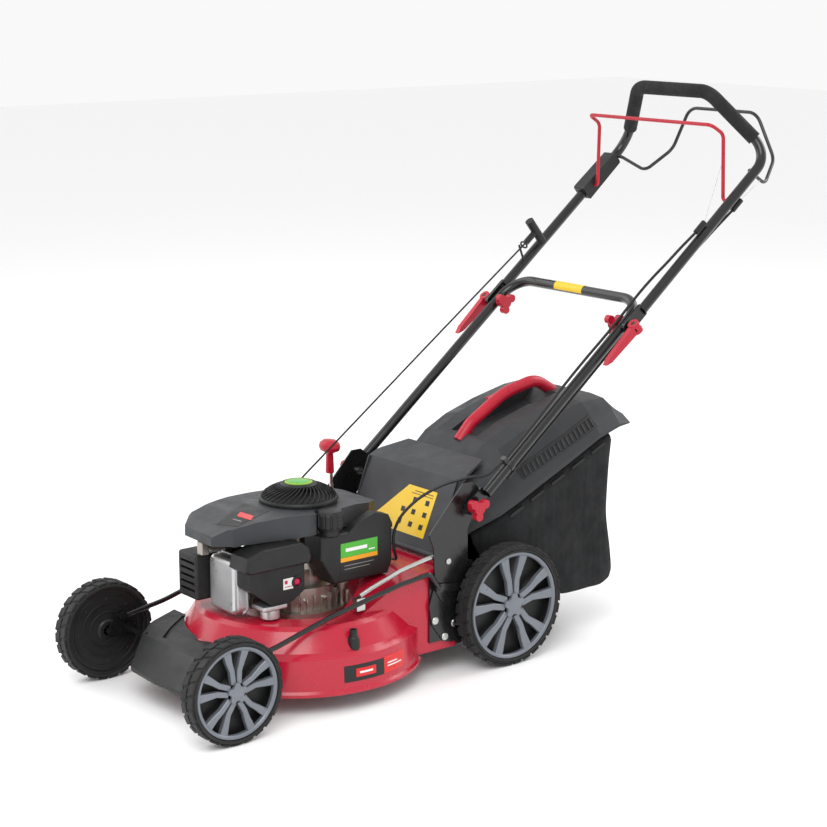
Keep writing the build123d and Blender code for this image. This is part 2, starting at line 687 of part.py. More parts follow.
def catcher_bag():
    """Fabric bag below the cover, with its open mouth at the front."""
    side = [(636, 266), (672, 196), (760, 150), (861, 100), (975, 93), (1020, 102), (1032, 128),
            (1006, 246), (1010, 334), (1027, 442.5), (970, 426.5), (880, 384.5), (800, 349.5),
            (742, 321.5), (700, 300.5)]
    side_in = [(620, 285), (632, 266), (668, 194), (758, 153), (861, 103), (974, 96),
               (1017, 104), (1029, 129), (1003, 246), (1007, 334), (1024, 450), (970, 440)]
    bag = plate_yz(side, -181, 181)
    plan = [(-147, 620), (147, 620), (175, 700), (181, 742), (181, 1040), (-181, 1040),
            (-181, 742), (-175, 700)]
    plan_in = [(x * 0.984, y) for x, y in plan]
    inside = plate_yz(side_in, -181, 181) & plate_xy(plan_in, 60, 460)
    return (bag & plate_xy(plan, 60, 460)) - inside


def catcher_handle():
    """Curved carrying handle along the catcher's top."""
    points = [(0, 736, 424), (0, 768, 458), (0, 862, 512), (0, 950, 530), (0, 1000, 500)]
    bow = swept(points, [25, 160, 60], 13)
    return bow - catcher_form(0, 0)


def level_indicator():
    """Small hinged flap that shows when the catcher is full."""
    flag = plate_yz([(862, 488), (925, 503), (925, 507), (862, 492)], -60, -34)
    return flag + rod_x(2, -60, -34, 863, 491)


# Handle


def flat_end(x0, x1, t0, t1):
    """Flattened tube end along the handle line, in the left tube's plane."""
    width = TUBE_R + 3
    corners = [on_handle(t0, -width), on_handle(t1, -width), on_handle(t1, width),
               on_handle(t0, width)]
    plate = plate_yz(corners, x0, x1)
    return fillet(plate.edges().filter_by(Axis.X), 8)


def lower_handle():
    """Lower handle: an inverted U with flattened feet."""
    route = mirrored_path([(LOWER_TUBE_X, *on_handle(38)), (LOWER_TUBE_X, *on_handle(592))])
    tube = swept(route, [59, 59], TUBE_R, TUBE_R - TUBE_WALL)
    x0 = BRACKET_X + BRACKET_T + 1.2
    for foot in both_sides(flat_end(x0, x0 + FLAT_T, -16, 44)):
        tube += foot
    y, z = on_handle(JOINT_T)
    tube -= rod_x(BOLT_R + RUNNING_GAP, -240, 240, y, z)
    return tube - rod_x(BOLT_R + RUNNING_GAP, -240, 240, PIVOT_Y, PIVOT_Z)


GRIP_CORNER = (108.0, 1350.0, 1137.0)
UPPER_CORNER = (UPPER_TUBE_X, *on_handle(1054))
JOINT_FACE_X = LOWER_TUBE_X + TUBE_R + 0.6
CAM_X = 238.0


def upper_handle():
    """Upper handle: a U with a raised grip, and its two joint bolts."""
    start = on_handle(JOINT_T + 46)
    route = mirrored_path([(UPPER_TUBE_X, *start), UPPER_CORNER, GRIP_CORNER])
    tube = swept(route, [55, 45, 45, 55], TUBE_R, TUBE_R - TUBE_WALL)
    end = flat_end(JOINT_FACE_X, JOINT_FACE_X + FLAT_T, JOINT_T - 16, JOINT_T + 56)
    for flat in both_sides(end):
        tube += flat
    y, z = on_handle(JOINT_T)
    tube -= rod_x(BOLT_R, -240, 240, y, z)
    for side in (-1, 1):
        for pivot in (BAIL_PIVOT, DRIVE_PIVOT):
            tube -= rod_x(BAIL_BORE, side * 200, side * 216, *pivot)
    bolt = rod_x(BOLT_R, 176, CAM_X, y, z) + across_handle(5, 23, CAM_X, JOINT_T)
    bolts = both_sides(bolt)
    return [tube] + bolts


def foam_grip():
    """Foam sleeve over the top of the upper handle."""
    low = Vector(*UPPER_CORNER) + (Vector(*GRIP_CORNER) - Vector(*UPPER_CORNER)) * 0.24
    route = mirrored_path([(low.X, low.Y, low.Z), GRIP_CORNER])
    return swept(route, [45, 45], TUBE_R + 4.5, TUBE_R + 0.2)


def across_handle(r, length, x, t):
    """Round bar square to the handle line and to X, at distance t up it."""
    return Pos(x, *on_handle(t)) * Rot(SLOPE, 0, 0) * Cylinder(r, length)


def cam_lever(side):
    """Quick-release cam lever: a fork on the bolt's barrel, and its grip."""
    head = across_handle(12, 24, CAM_X, JOINT_T)
    outline = [on_handle(JOINT_T, -11), on_handle(JOINT_T, 11), on_handle(JOINT_T - 96, 6),
               on_handle(JOINT_T - 112, 0), on_handle(JOINT_T - 96, -6)]
    lever = head + plate_yz(outline, CAM_X - 5, CAM_X + 7)
    slot = Pos(CAM_X - 2, *on_handle(JOINT_T + 2)) * Rot(SLOPE, 0, 0) * Box(24, 22, 9.4)
    lever = lever - slot - across_handle(5 + RUNNING_GAP, 40, CAM_X, JOINT_T)
    return lever if side > 0 else mirror(lever, about=Plane.YZ)


def lobed_knob(x0, x1, y, z, bore_depth):
    """Three-lobed hand knob along X, bored from its inner end."""
    knob = rod_x(13, x0, x1, y, z)
    outer_x = x0 + (x1 - x0) * 0.45
    for i in range(3):
        angle = radians(120 * i + 25)
        knob += rod_x(9, outer_x, x1, y + 17 * cos(angle), z + 17 * sin(angle))
    return knob - rod_x(BOLT_R + RUNNING_GAP, x0, x0 + bore_depth, y, z)


BAIL_WIRE_R = 4.0
BAIL_BORE = BAIL_WIRE_R + RUNNING_GAP
BAIL_PIVOT = (1313.0, 909.5)
DRIVE_PIVOT = (1389.0, 970.5)


def operator_bail():
    """Bail that must be held down for the engine to run."""
    y, z = BAIL_PIVOT
    left = [(212, y, z), (196, y, z), (192, 1312, 1052), (190, 1277, 1073)]
    return swept(mirrored_path(left), [8, 20, 14, 14, 20, 8], BAIL_WIRE_R)


def drive_bail():
    """Bail behind the grip that engages the wheel drive."""
    y, z = DRIVE_PIVOT
    left = [(213, y, z), (197, y, z), (186, 1456, 935), (157, 1516, 984), (103, 1514, 1083)]
    wire = swept(mirrored_path(left), [8, 25, 40, 40, 40, 40, 25, 8], BAIL_WIRE_R)
    return wire


ANCHORS = [(800, 20), (912, -20)]
ROPE_REST = (-194.0, 1092.0, 795.0)
ROPE_START = (*ROPE_EXIT, 366.0)


def tube_line(t0, t1, off, x=UPPER_TUBE_X):
    """Two ends of a straight run beside a handle tube."""
    return [(x, *on_handle(t0, off)), (x, *on_handle(t1, off))]


def handle_fittings():
    """Control housing, cable anchors and rope guide on the upper handle."""
    ends = [on_handle(870, -16), on_handle(995, -13), on_handle(995, 17), on_handle(870, 20)]
    housing = plate_yz(ends, -236, -203)
    housing = fillet(housing.edges().filter_by(Axis.X), 5)
    housing -= swept(tube_line(850, 1010, 0, -UPPER_TUBE_X), [], TUBE_R + 0.05)
    for y, z in (BAIL_PIVOT, DRIVE_PIVOT):
        housing -= rod_x(BAIL_BORE, -216, -190, y, z)
    anchors = []
    for t, off in ANCHORS:
        body = swept(tube_line(t - 16, t + 16, off), [], 6)
        anchors.append(body - swept(tube_line(t - 20, t + 20, off), [], 3.05))
    aim = (Vector(*ROPE_REST) - Vector(*ROPE_START)).normalized()
    eye = Plane(origin=Vector(*ROPE_REST) - aim * 8, z_dir=aim) * Torus(8, 2)
    y, z = on_handle(640, 6)
    post = swept([(-213, y, z), (-203, 1080, 789)], [], 2.5)
    post -= swept(tube_line(600, 700, 0, -UPPER_TUBE_X), [], TUBE_R + 0.05)
    return [housing, *anchors, eye + post]


def cable_clip():
    """Clip that ties the cables to the left lower tube."""
    y, z = on_handle(115)
    band = Pos(LOWER_TUBE_X, y, z) * Rot(-90 + SLOPE, 0, 0) * (Cylinder(13, 10) - Cylinder(11.05, 12))
    jaw = plate_yz([on_handle(110, 12.5), on_handle(120, 12.5), on_handle(120, 24),
                    on_handle(110, 24)], 197, 209)
    return band + jaw - cable_core(BRAKE_ROUTE, 3.15)


BRAKE_ROUTE = [
    (219, *on_handle(784, 20)), (214, *on_handle(735, 21.5)), (210, *on_handle(690, 21)),
    (206, *on_handle(640, 23)), (204, *on_handle(590, 23)), (203, *on_handle(530, 20.5)),
    (203.5, *on_handle(470, 20)), (203, *on_handle(410, 21.5)), (203.5, *on_handle(350, 22)),
    (203, *on_handle(290, 20.5)), (203.5, *on_handle(230, 19.5)), (203, *on_handle(175, 18.5)),
    (203, *on_handle(115, 18.5)), (200, *on_handle(62, 24)), (186, 612, 403), (152, 560, 386),
    (130, 517, 359), (114, 488, 326), (108, 474, 290), (112, 474, 256), (110, 483, 236),
    (84, 490, 230.5), (52, 484, 228.5), (30, 462, 228),
]
DRIVE_ROUTE = [
    (219, *on_handle(896, -20)), (215, *on_handle(840, -18)), (210, *on_handle(785, -18.5)),
    (205, *on_handle(728, -18)), (203, *on_handle(670, -17)), (203.5, *on_handle(612, -16.5)),
    (203, *on_handle(555, -17)), (203.5, *on_handle(500, -17.5)), (203, *on_handle(442, -17)),
    (203.5, *on_handle(384, -16.5)), (203, *on_handle(326, -17)), (203.5, *on_handle(268, -17.5)),
    (203, *on_handle(210, -17)), (203.5, *on_handle(152, -17)), (204, *on_handle(96, -18)),
]


def cable_core(route, r):
    """Round cable along its route."""
    return swept(route, cord_radii(route), r)


def control_wires():
    """Bare inner wires from the bails to the two cable anchors."""
    brake = swept([(219, *on_handle(817, 20)), (196.5, 1303, 985)], [], 0.75)
    drive = swept([(219, *on_handle(929, -20)), (203, 1420, 946)], [], 0.75)
    return [brake, drive]


ROPE_ROUTE = [ROPE_START, (-112.2, 595.0, 507.5), (-153.2, 842.0, 650.9), ROPE_REST]


def starter_rope():
    """Starter rope, pulled tight between the engine and its handle."""
    return cable_core(ROPE_ROUTE, 2.0)


def starter_grip():
    """T-shaped starter handle, parked above the rope guide."""
    along = Vector(0, *UP)
    start = Vector(*ROPE_REST)
    stem = extrude(Plane(origin=start + along * 0.8, z_dir=along) * Circle(7), amount=30)
    across = Vector(0, UP[1], -UP[0])
    low = start + along * 38 - across * 32
    bar = extrude(Plane(origin=low, z_dir=across) * Circle(10), amount=64)
    return stem + bar


def export(name, shape):
    """Write one node's STEP file in the finished mower's frame."""
    solids = shape if isinstance(shape, list) else [shape]
    moved = [Pos(0, FRONT_AXLE_Y, 0) * solid for solid in solids]
    body = moved[0] if len(moved) == 1 else Compound(children=moved)
    export_step(body, f"parts/{name}.step")


def build():
    """Make every node."""
    export("deck_shell", deck_shell())
    export("front_cowl", front_cowl())
    bracket = bracket_plate() + spacer_flange()
    sheet, slot = quadrant()
    export("side_bracket_left", bracket)
    export("side_bracket_right", mirror(bracket + sheet - slot, about=Plane.YZ))
    export("discharge_chute", discharge_chute())
    export("wash_port", wash_port())
    export("deck_bolts", deck_bolts())
    export("brace_rod", brace_rod())
    export("front_axle", front_axle())
    export("rear_axle", rear_axle())
    export("link_rod_left", link_rod(1))
    export("link_rod_right", link_rod(-1))
    export("height_crank", lever_crank(1))
    export("height_lever", height_lever())
    wheels = (
        ("front_left", 1, 0.0, FRONT_WHEEL_R, FRONT_RIM_R, FRONT_WHEEL_X, FRONT_BAR_R),
        ("front_right", -1, 0.0, FRONT_WHEEL_R, FRONT_RIM_R, FRONT_WHEEL_X, FRONT_BAR_R),
        ("rear_left", 1, WHEELBASE, REAR_WHEEL_R, REAR_RIM_R, REAR_WHEEL_X, REAR_BAR_R),
        ("rear_right", -1, WHEELBASE, REAR_WHEEL_R, REAR_RIM_R, REAR_WHEEL_X, REAR_BAR_R),
    )
    for name, side, y, r, rim_r, x, stub_r in wheels:
        tyre, disc = wheel(side, y, r, rim_r, x, stub_r + RUNNING_GAP)
        export(f"tyre_{name}", tyre)
        export(f"wheel_{name}", disc)
    export("crankshaft", crankshaft())
    export("flywheel", flywheel())
    export("cutting_blade", cutting_blade())
    export("crankcase", crankcase())
    export("cylinder", cylinder())
    export("rocker_cover", rocker_cover())
    export("engine_shroud", engine_shroud())
    export("recoil_grille", recoil_grille())
    export("fuel_tank", fuel_tank())
    export("fuel_cap", fuel_cap())
    export("air_filter", air_filter())
    export("primer_bulb", primer_bulb())
    export("carburettor", carburettor())
    export("muffler", muffler())
    export("rear_flap", rear_flap())
    export("flap_pin", flap_pin())
    export("catcher_cover", catcher_cover())
    export("catcher_bag", catcher_bag())
    export("catcher_handle", catcher_handle())
    export("level_indicator", level_indicator())
    export("lower_handle", lower_handle())
    export("upper_handle", upper_handle())
    export("foam_grip", foam_grip())
    foot_x = BRACKET_X + BRACKET_T + 1.2 + FLAT_T + 0.4
    joint = on_handle(JOINT_T)
    for name, side in (("left", 1), ("right", -1)):
        export(f"cam_lever_{name}", cam_lever(side))
        knob = lobed_knob(side * foot_x, side * (foot_x + 24), PIVOT_Y, PIVOT_Z, side * 19)
        export(f"bracket_knob_{name}", knob)
        inner = lobed_knob(side * 191.4, side * 168, *joint, side * -18)
        export(f"joint_knob_{name}", inner)
    export("operator_bail", operator_bail())
    export("drive_bail", drive_bail())
    export("handle_fittings", handle_fittings())
    export("cable_clip", cable_clip())
    export("brake_cable", cable_core(BRAKE_ROUTE, 3.0))
    export("drive_cable", cable_core(DRIVE_ROUTE, 3.0))
    export("control_wires", control_wires())
    export("starter_rope", starter_rope())
    export("starter_grip", starter_grip())


os.makedirs("parts", exist_ok=True)
build()
for label, route in (("brake", BRAKE_ROUTE), ("drive", DRIVE_ROUTE), ("rope", ROPE_ROUTE)):
    print(label, [round(r) for r in cord_radii(route)])
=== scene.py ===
"""Walk-behind petrol lawn mower: finishes and detailed pieces over the CAD frame.

Lengths are in metres.  +X is the operator's left, +Y runs back to the handle
and +Z is up, with the origin on the ground under the middle of the mower.
"""
import logging
import math
from collections.abc import Callable, Iterable
from dataclasses import dataclass, field
from enum import Enum

import bpy
from mathutils import Matrix, Vector


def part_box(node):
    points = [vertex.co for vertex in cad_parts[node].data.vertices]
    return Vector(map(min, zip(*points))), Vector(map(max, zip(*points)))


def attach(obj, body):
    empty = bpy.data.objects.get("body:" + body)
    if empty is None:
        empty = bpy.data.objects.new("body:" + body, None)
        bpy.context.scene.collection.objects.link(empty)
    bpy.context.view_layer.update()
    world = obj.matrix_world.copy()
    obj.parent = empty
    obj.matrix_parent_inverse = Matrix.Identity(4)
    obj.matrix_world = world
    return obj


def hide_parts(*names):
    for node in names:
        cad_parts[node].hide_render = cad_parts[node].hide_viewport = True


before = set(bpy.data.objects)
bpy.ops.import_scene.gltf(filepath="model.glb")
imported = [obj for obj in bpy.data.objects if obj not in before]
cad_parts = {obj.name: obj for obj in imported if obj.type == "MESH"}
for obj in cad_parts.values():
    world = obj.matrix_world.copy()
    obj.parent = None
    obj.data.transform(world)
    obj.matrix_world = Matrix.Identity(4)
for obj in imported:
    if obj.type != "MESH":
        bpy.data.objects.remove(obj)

LOG = logging.getLogger("mower")
Point = tuple[float, float, float]
Outline = list[tuple[float, float]]
Test = Callable[[Vector], bool]
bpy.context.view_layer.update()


# Node helpers


class Graph:
    """A material's node tree, with short calls for the nodes the finishes use."""

    def __init__(self, name: str) -> None:
        """Start an empty material.

        Args:
            name: the material's name.
        """
        self.material = bpy.data.materials.new(name)
        self.material.use_nodes = True
        self.tree = self.material.node_tree
        self.shader = self.tree.nodes["Principled BSDF"]
        coords = self.tree.nodes.new("ShaderNodeTexCoord")
        self.object_space = coords.outputs["Object"]

    def node(self, kind: str, **values: object) -> bpy.types.Node:
        """Add a node and set its properties and unlinked inputs.

        Args:
            kind: the node's type.
            values: property names, or input names with spaces as underscores.

        Returns:
            The new node.
        """
        made = self.tree.nodes.new(kind)
        for key, value in values.items():
            if hasattr(made, key):
                setattr(made, key, value)
            else:
                made.inputs[key.replace("_", " ")].default_value = value
        return made

    def link(self, output: bpy.types.NodeSocket, target: bpy.types.NodeSocket) -> None:
        """Join one output to one input."""
        self.tree.links.new(output, target)

    def noise(self, scale: float, detail: float = 3.0,
              stretch: Point = (1.0, 1.0, 1.0)) -> bpy.types.NodeSocket:
        """Noise on Object coordinates.

        Args:
            scale: features per metre.
            detail: octaves of finer noise.
            stretch: how much each axis is squeezed first.

        Returns:
            The factor socket, from 0 to 1.
        """
        mapping = self.node("ShaderNodeMapping", Scale=stretch)
        self.link(self.object_space, mapping.inputs["Vector"])
        noise = self.node("ShaderNodeTexNoise", Scale=scale, Detail=detail, Roughness=0.6)
        self.link(mapping.outputs["Vector"], noise.inputs["Vector"])
        return noise.outputs["Fac"]

    def spread(self, value: bpy.types.NodeSocket, low: float,
               high: float) -> bpy.types.NodeSocket:
        """Map the middle of a 0 to 1 value onto a range."""
        ramp = self.node("ShaderNodeMapRange")
        ramp.inputs["From Min"].default_value = 0.3
        ramp.inputs["From Max"].default_value = 0.7
        ramp.inputs["To Min"].default_value = low
        ramp.inputs["To Max"].default_value = high
        self.link(value, ramp.inputs["Value"])
        return ramp.outputs["Result"]

    def mix(self, factor: bpy.types.NodeSocket, first: object,
            second: object) -> bpy.types.NodeSocket:
        """Mix two colours, each a socket or a plain colour."""
        mixer = self.node("ShaderNodeMix", data_type="RGBA")
        self.link(factor, mixer.inputs["Factor"])
        for index, value in ((6, first), (7, second)):
            if isinstance(value, bpy.types.NodeSocket):
                self.link(value, mixer.inputs[index])
            else:
                mixer.inputs[index].default_value = (*value, 1.0)
        return mixer.outputs[2]

    def math(self, operation: str, *values: object) -> bpy.types.NodeSocket:
        """A Math node on sockets or numbers."""
        made = self.node("ShaderNodeMath", operation=operation)
        for index, value in enumerate(values):
            if isinstance(value, bpy.types.NodeSocket):
                self.link(value, made.inputs[index])
            else:
                made.inputs[index].default_value = value
        return made.outputs[0]

    def bump(self, height: bpy.types.NodeSocket, distance: float,
             strength: float = 1.0) -> None:
        """Add a bump to the shader's normal, on top of any there is."""
        target = self.shader.inputs["Normal"]
        below = target.links[0].from_socket if target.is_linked else None
        made = self.node("ShaderNodeBump", Distance=distance, Strength=strength)
        self.link(height, made.inputs["Height"])
        if below is not None:
            self.link(below, made.inputs["Normal"])
        self.link(made.outputs["Normal"], target)


# Finishes


@dataclass(frozen=True)
class Finish:
    """A surface finish: colour, gloss, grain, dust and patches of scratched wear."""

    name: str
    colour: Point
    roughness: float = 0.4
    metallic: float = 0.0
    coat: float = 0.0
    grain: float = 0.0002
    grain_scale: float = 900.0
    variation: float = 0.15
    dust: float = 0.0
    wear: float = 0.0
    wear_colour: Point = (0.45, 0.45, 0.45)
    brushed: bool = False
    gloss: float = 0.4

    def shade(self, factor: float) -> Point:
        """The colour made darker or lighter."""
        return tuple(min(1.0, c * factor) for c in self.colour)

    def build(self) -> bpy.types.Material:
        """Make the material.

        Returns:
            The finished node material.
        """
        graph = Graph(self.name)
        shader = graph.shader.inputs
        shader["Metallic"].default_value = self.metallic
        shader["Coat Weight"].default_value = self.coat
        shader["Specular IOR Level"].default_value = self.gloss
        shader["Coat Roughness"].default_value = 0.12
        blotch = graph.noise(7.0, 5.0)
        colour = graph.mix(graph.spread(blotch, 0.0, 1.0), self.shade(1.0 - self.variation),
                           self.shade(1.0 + self.variation))
        if self.dust:
            settled = graph.spread(graph.noise(23.0, 6.0), 0.0, self.dust)
            colour = graph.mix(settled, colour, (0.21, 0.19, 0.16))
        if self.wear:
            scratch = graph.noise(240.0, 2.0, (0.16, 1.0, 1.0))
            scratch = graph.math("GREATER_THAN", scratch, 0.69)
            patchy = graph.spread(graph.noise(17.0), -0.4 * self.wear, self.wear)
            worn = graph.math("MAXIMUM", graph.math("MULTIPLY", scratch, patchy), 0.0)
            colour = graph.mix(worn, colour, self.wear_colour)
        graph.link(colour, shader["Base Color"])
        rough = graph.spread(graph.noise(31.0, 4.0), self.roughness * 0.8,
                             min(1.0, self.roughness * 1.25))
        graph.link(rough, shader["Roughness"])
        self.texture(graph)
        return graph.material

    def texture(self, graph: Graph) -> None:
        """Add the fine relief.

        Args:
            graph: the material being built.
        """
        if self.grain:
            stretch = (1.0, 14.0, 14.0) if self.brushed else (1.0, 1.0, 1.0)
            graph.bump(graph.noise(self.grain_scale, 2.0, stretch), self.grain)


@dataclass(frozen=True)
class Weave(Finish):
    """Woven cloth: upright warp threads crossed by a finer weft."""

    threads: float = 300.0

    def texture(self, graph: Graph) -> None:
        """Add warp and weft ridges and some slack in the cloth, and paint a sheen: paler streaks
        where the slack bulges.

        Args:
            graph: the material being built.
        """
        split = graph.node("ShaderNodeSeparateXYZ")
        graph.link(graph.object_space, split.inputs["Vector"])
        across = graph.math("ADD", split.outputs["X"], split.outputs["Y"])
        warp = graph.math("SINE", graph.math("MULTIPLY", across, self.threads * 2 * math.pi))
        weft = graph.math("SINE", graph.math("MULTIPLY", split.outputs["Z"],
                                             self.threads * 3 * math.pi))
        uneven = graph.noise(90.0, 3.0, (1.0, 1.0, 0.06))
        graph.bump(graph.math("MULTIPLY", graph.math("ADD", warp, 1.2),
                              graph.math("ADD", weft, 2.0)), 0.0003, 0.7)
        graph.bump(uneven, 0.002, 0.6)
        graph.bump(graph.noise(22.0, 3.0), 0.003, 0.35)
        # Painted sheen: the colour is mixed towards a far paler shade along the streaks where
        # the slack bumps the cloth out.
        shine = graph.shader.inputs["Base Color"].links[0].from_socket
        painted_sheen = graph.spread(uneven, 0.0, 0.55)
        graph.link(graph.mix(painted_sheen, shine, self.shade(2.6)),
                   graph.shader.inputs["Base Color"])


@dataclass(frozen=True)
class Foam(Finish):
    """Closed-cell foam: shallow round pits."""

    def texture(self, graph: Graph) -> None:
        """Add the cell pattern.

        Args:
            graph: the material being built.
        """
        cells = graph.node("ShaderNodeTexVoronoi", Scale=420.0)
        graph.link(graph.object_space, cells.inputs["Vector"])
        graph.bump(cells.outputs["Distance"], 0.0008)


class Paint(Enum):
    """Every finish on the mower."""

    DECK = Finish("deck_red_powder", (0.44, 0.006, 0.028), 0.24, coat=0.25, grain=0.00012,
                  grain_scale=260.0, variation=0.05, dust=0.012, wear=0.2,
                  wear_colour=(0.22, 0.03, 0.03))
    FRAME = Finish("frame_black_powder", (0.006, 0.006, 0.0065), 0.24, coat=0.3, grain=0.0001,
                   grain_scale=700.0, dust=0.006, wear=0.25, wear_colour=(0.06, 0.06, 0.065))
    PLASTIC = Finish("black_moulding", (0.009, 0.0095, 0.010), 0.40, grain=0.00018,
                     grain_scale=1500.0, dust=0.018, gloss=0.35)
    SHROUD = Finish("charcoal_moulding", (0.034, 0.036, 0.040), 0.42, grain=0.0002,
                    grain_scale=1400.0, variation=0.07, dust=0.01, gloss=0.35)
    COVER = Finish("catcher_moulding", (0.024, 0.0255, 0.028), 0.46, grain=0.0002,
                   grain_scale=1300.0, variation=0.08, dust=0.012, gloss=0.35)
    # Painted shade: a darker copy of the cover moulding, standing for the shaded openings of the
    # vents.
    COVER_DARK = Finish("vent_painted_shade", (0.007, 0.0075, 0.008), 0.5, grain=0.0002, dust=0.01)
    WHEEL = Finish("wheel_grey_paint", (0.17, 0.185, 0.21), 0.34, metallic=0.3, grain=0.00012,
                   grain_scale=800.0, dust=0.04, variation=0.07)
    TYRE = Finish("tyre_rubber", (0.013, 0.0135, 0.0145), 0.62, grain=0.0004,
                  grain_scale=600.0, dust=0.05, gloss=0.3)
    RED = Finish("red_moulding", (0.42, 0.006, 0.024), 0.3, grain=0.00012, grain_scale=1200.0,
                 variation=0.08, dust=0.01)
    RED_WIRE = Finish("red_coated_wire", (0.40, 0.006, 0.022), 0.34, grain=0.0001,
                      variation=0.08)
    STEEL = Finish("zinc_steel", (0.58, 0.58, 0.56), 0.26, metallic=1.0, grain=0.0001,
                   grain_scale=500.0, brushed=True, variation=0.1)
    BLADE = Finish("blade_steel", (0.30, 0.30, 0.31), 0.42, metallic=0.9, grain=0.0003,
                   grain_scale=300.0, brushed=True, dust=0.1)
    SILVER = Finish("pressed_silver", (0.58, 0.58, 0.59), 0.32, metallic=0.8, grain=0.0002,
                    grain_scale=500.0, variation=0.08)
    CAST = Finish("cast_alloy", (0.27, 0.22, 0.19), 0.46, metallic=0.65, grain=0.0006,
                  grain_scale=420.0, variation=0.3, dust=0.08)
    EXHAUST = Finish("exhaust_black", (0.010, 0.010, 0.010), 0.55, grain=0.0004, dust=0.03)
    GREEN = Finish("green_disc", (0.045, 0.36, 0.012), 0.3, coat=0.3, grain=0.0,
                   variation=0.08)
    YELLOW = Finish("yellow_sticker", (0.78, 0.50, 0.004), 0.35, coat=0.2, grain=0.0,
                    variation=0.05, dust=0.02)
    WHITE = Finish("white_print", (0.75, 0.75, 0.73), 0.4, grain=0.0, variation=0.03)
    PRINT = Finish("dark_print", (0.010, 0.010, 0.010), 0.4, grain=0.0)
    GOLD = Finish("amber_print", (0.72, 0.30, 0.008), 0.4, grain=0.0)
    SIGNAL_RED = Finish("signal_red_print", (0.62, 0.006, 0.008), 0.3, coat=0.2, grain=0.0,
                        variation=0.05)
    PINK = Finish("pink_print", (0.50, 0.01, 0.08), 0.4, grain=0.0)
    GREY_PRINT = Finish("grey_print", (0.25, 0.25, 0.25), 0.45, grain=0.0)
    BULB = Finish("primer_rubber", (0.48, 0.004, 0.06), 0.32, grain=0.0001)
    CABLE = Finish("cable_sheath", (0.007, 0.007, 0.0075), 0.36, grain=0.0001)
    FOAM = Foam("grip_foam", (0.014, 0.0145, 0.0155), 0.75, dust=0.03, gloss=0.25)
    BAG = Weave("bag_cloth", (0.0085, 0.009, 0.010), 0.78, variation=0.35, dust=0.02,
                gloss=0.25)
    PIPING = Weave("seam_piping", (0.007, 0.007, 0.0075), 0.7, threads=900.0)
    ROPE = Weave("rope_braid", (0.010, 0.010, 0.0105), 0.7, threads=1400.0)

    def material(self) -> bpy.types.Material:
        """The finish's material, built once."""
        found = bpy.data.materials.get(self.value.name)
        return found if found is not None else self.value.build()


CAD_FINISHES: dict[Paint, tuple[str, ...]] = {
    Paint.DECK: ("deck_shell",),
    Paint.FRAME: ("side_bracket_left", "side_bracket_right", "front_axle", "rear_axle",
                  "link_rod_left", "link_rod_right", "height_crank", "lower_handle",
                  "upper_handle", "drive_bail", "cable_clip"),
    Paint.PLASTIC: ("front_cowl", "discharge_chute", "wash_port", "recoil_grille", "fuel_tank",
                    "fuel_cap", "air_filter", "handle_fittings", "starter_grip"),
    Paint.SHROUD: ("engine_shroud", "rear_flap"),
    Paint.COVER: ("catcher_cover",),
    Paint.WHEEL: ("wheel_front_left", "wheel_front_right", "wheel_rear_left",
                  "wheel_rear_right"),
    Paint.TYRE: ("tyre_front_left", "tyre_front_right", "tyre_rear_left", "tyre_rear_right"),
    Paint.RED: ("catcher_handle", "level_indicator", "cam_lever_left", "cam_lever_right",
                "bracket_knob_left", "bracket_knob_right", "joint_knob_left",
                "joint_knob_right"),
    Paint.RED_WIRE: ("operator_bail",),
    Paint.STEEL: ("deck_bolts", "brace_rod", "height_lever", "crankshaft", "flap_pin",
                  "control_wires"),
    Paint.BLADE: ("cutting_blade",),
    Paint.SILVER: ("rocker_cover", "carburettor"),
    Paint.CAST: ("crankcase", "cylinder", "flywheel"),
    Paint.EXHAUST: ("muffler",),
    Paint.BULB: ("primer_bulb",),
    Paint.CABLE: ("brake_cable", "drive_cable"),
    Paint.FOAM: ("foam_grip",),
    Paint.BAG: ("catcher_bag",),
    Paint.ROPE: ("starter_rope",),
}


def dress(obj: bpy.types.Object, paint: Paint) -> None:
    """Give every slot of a piece one finish.

    Args:
        obj: the piece.
        paint: its finish.
    """
    material = paint.material()
    if not obj.data.materials:
        obj.data.materials.append(material)
    for index in range(len(obj.data.materials)):
        obj.data.materials[index] = material


def dress_cad() -> None:
    """Give every CAD node its finish."""
    for paint, names in CAD_FINISHES.items():
        for name in names:
            dress(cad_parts[name], paint)
    LOG.info("finished %d CAD nodes", len(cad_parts))


# Camera, light and floor


@dataclass(frozen=True)
class Lamp:
    """One square soft lamp, aimed at the mower: its side in metres and power in watts."""

    name: str
    place: Point
    size: float
    power: float

    def hang(self) -> None:
        """Hang the lamp."""
        data = bpy.data.lights.new(self.name, "AREA")
        data.size = self.size
        data.energy = self.power
        lamp = bpy.data.objects.new(self.name, data)
        aim = (Vector(LAMP_TARGET) - Vector(self.place)).to_track_quat("-Z", "Y")
        lamp.matrix_world = Matrix.Translation(self.place) @ aim.to_matrix().to_4x4()
        bpy.context.scene.collection.objects.link(lamp)


LAMP_TARGET: Point = (0.0, 0.0, 0.4)
LAMPS = (Lamp("key_light", (2.2, -2.4, 3.4), 2.6, 95.0),
         Lamp("fill_light", (-3.0, -1.6, 2.4), 3.2, 45.0),
         Lamp("rim_light", (0.6, 3.4, 3.0), 2.4, 60.0))


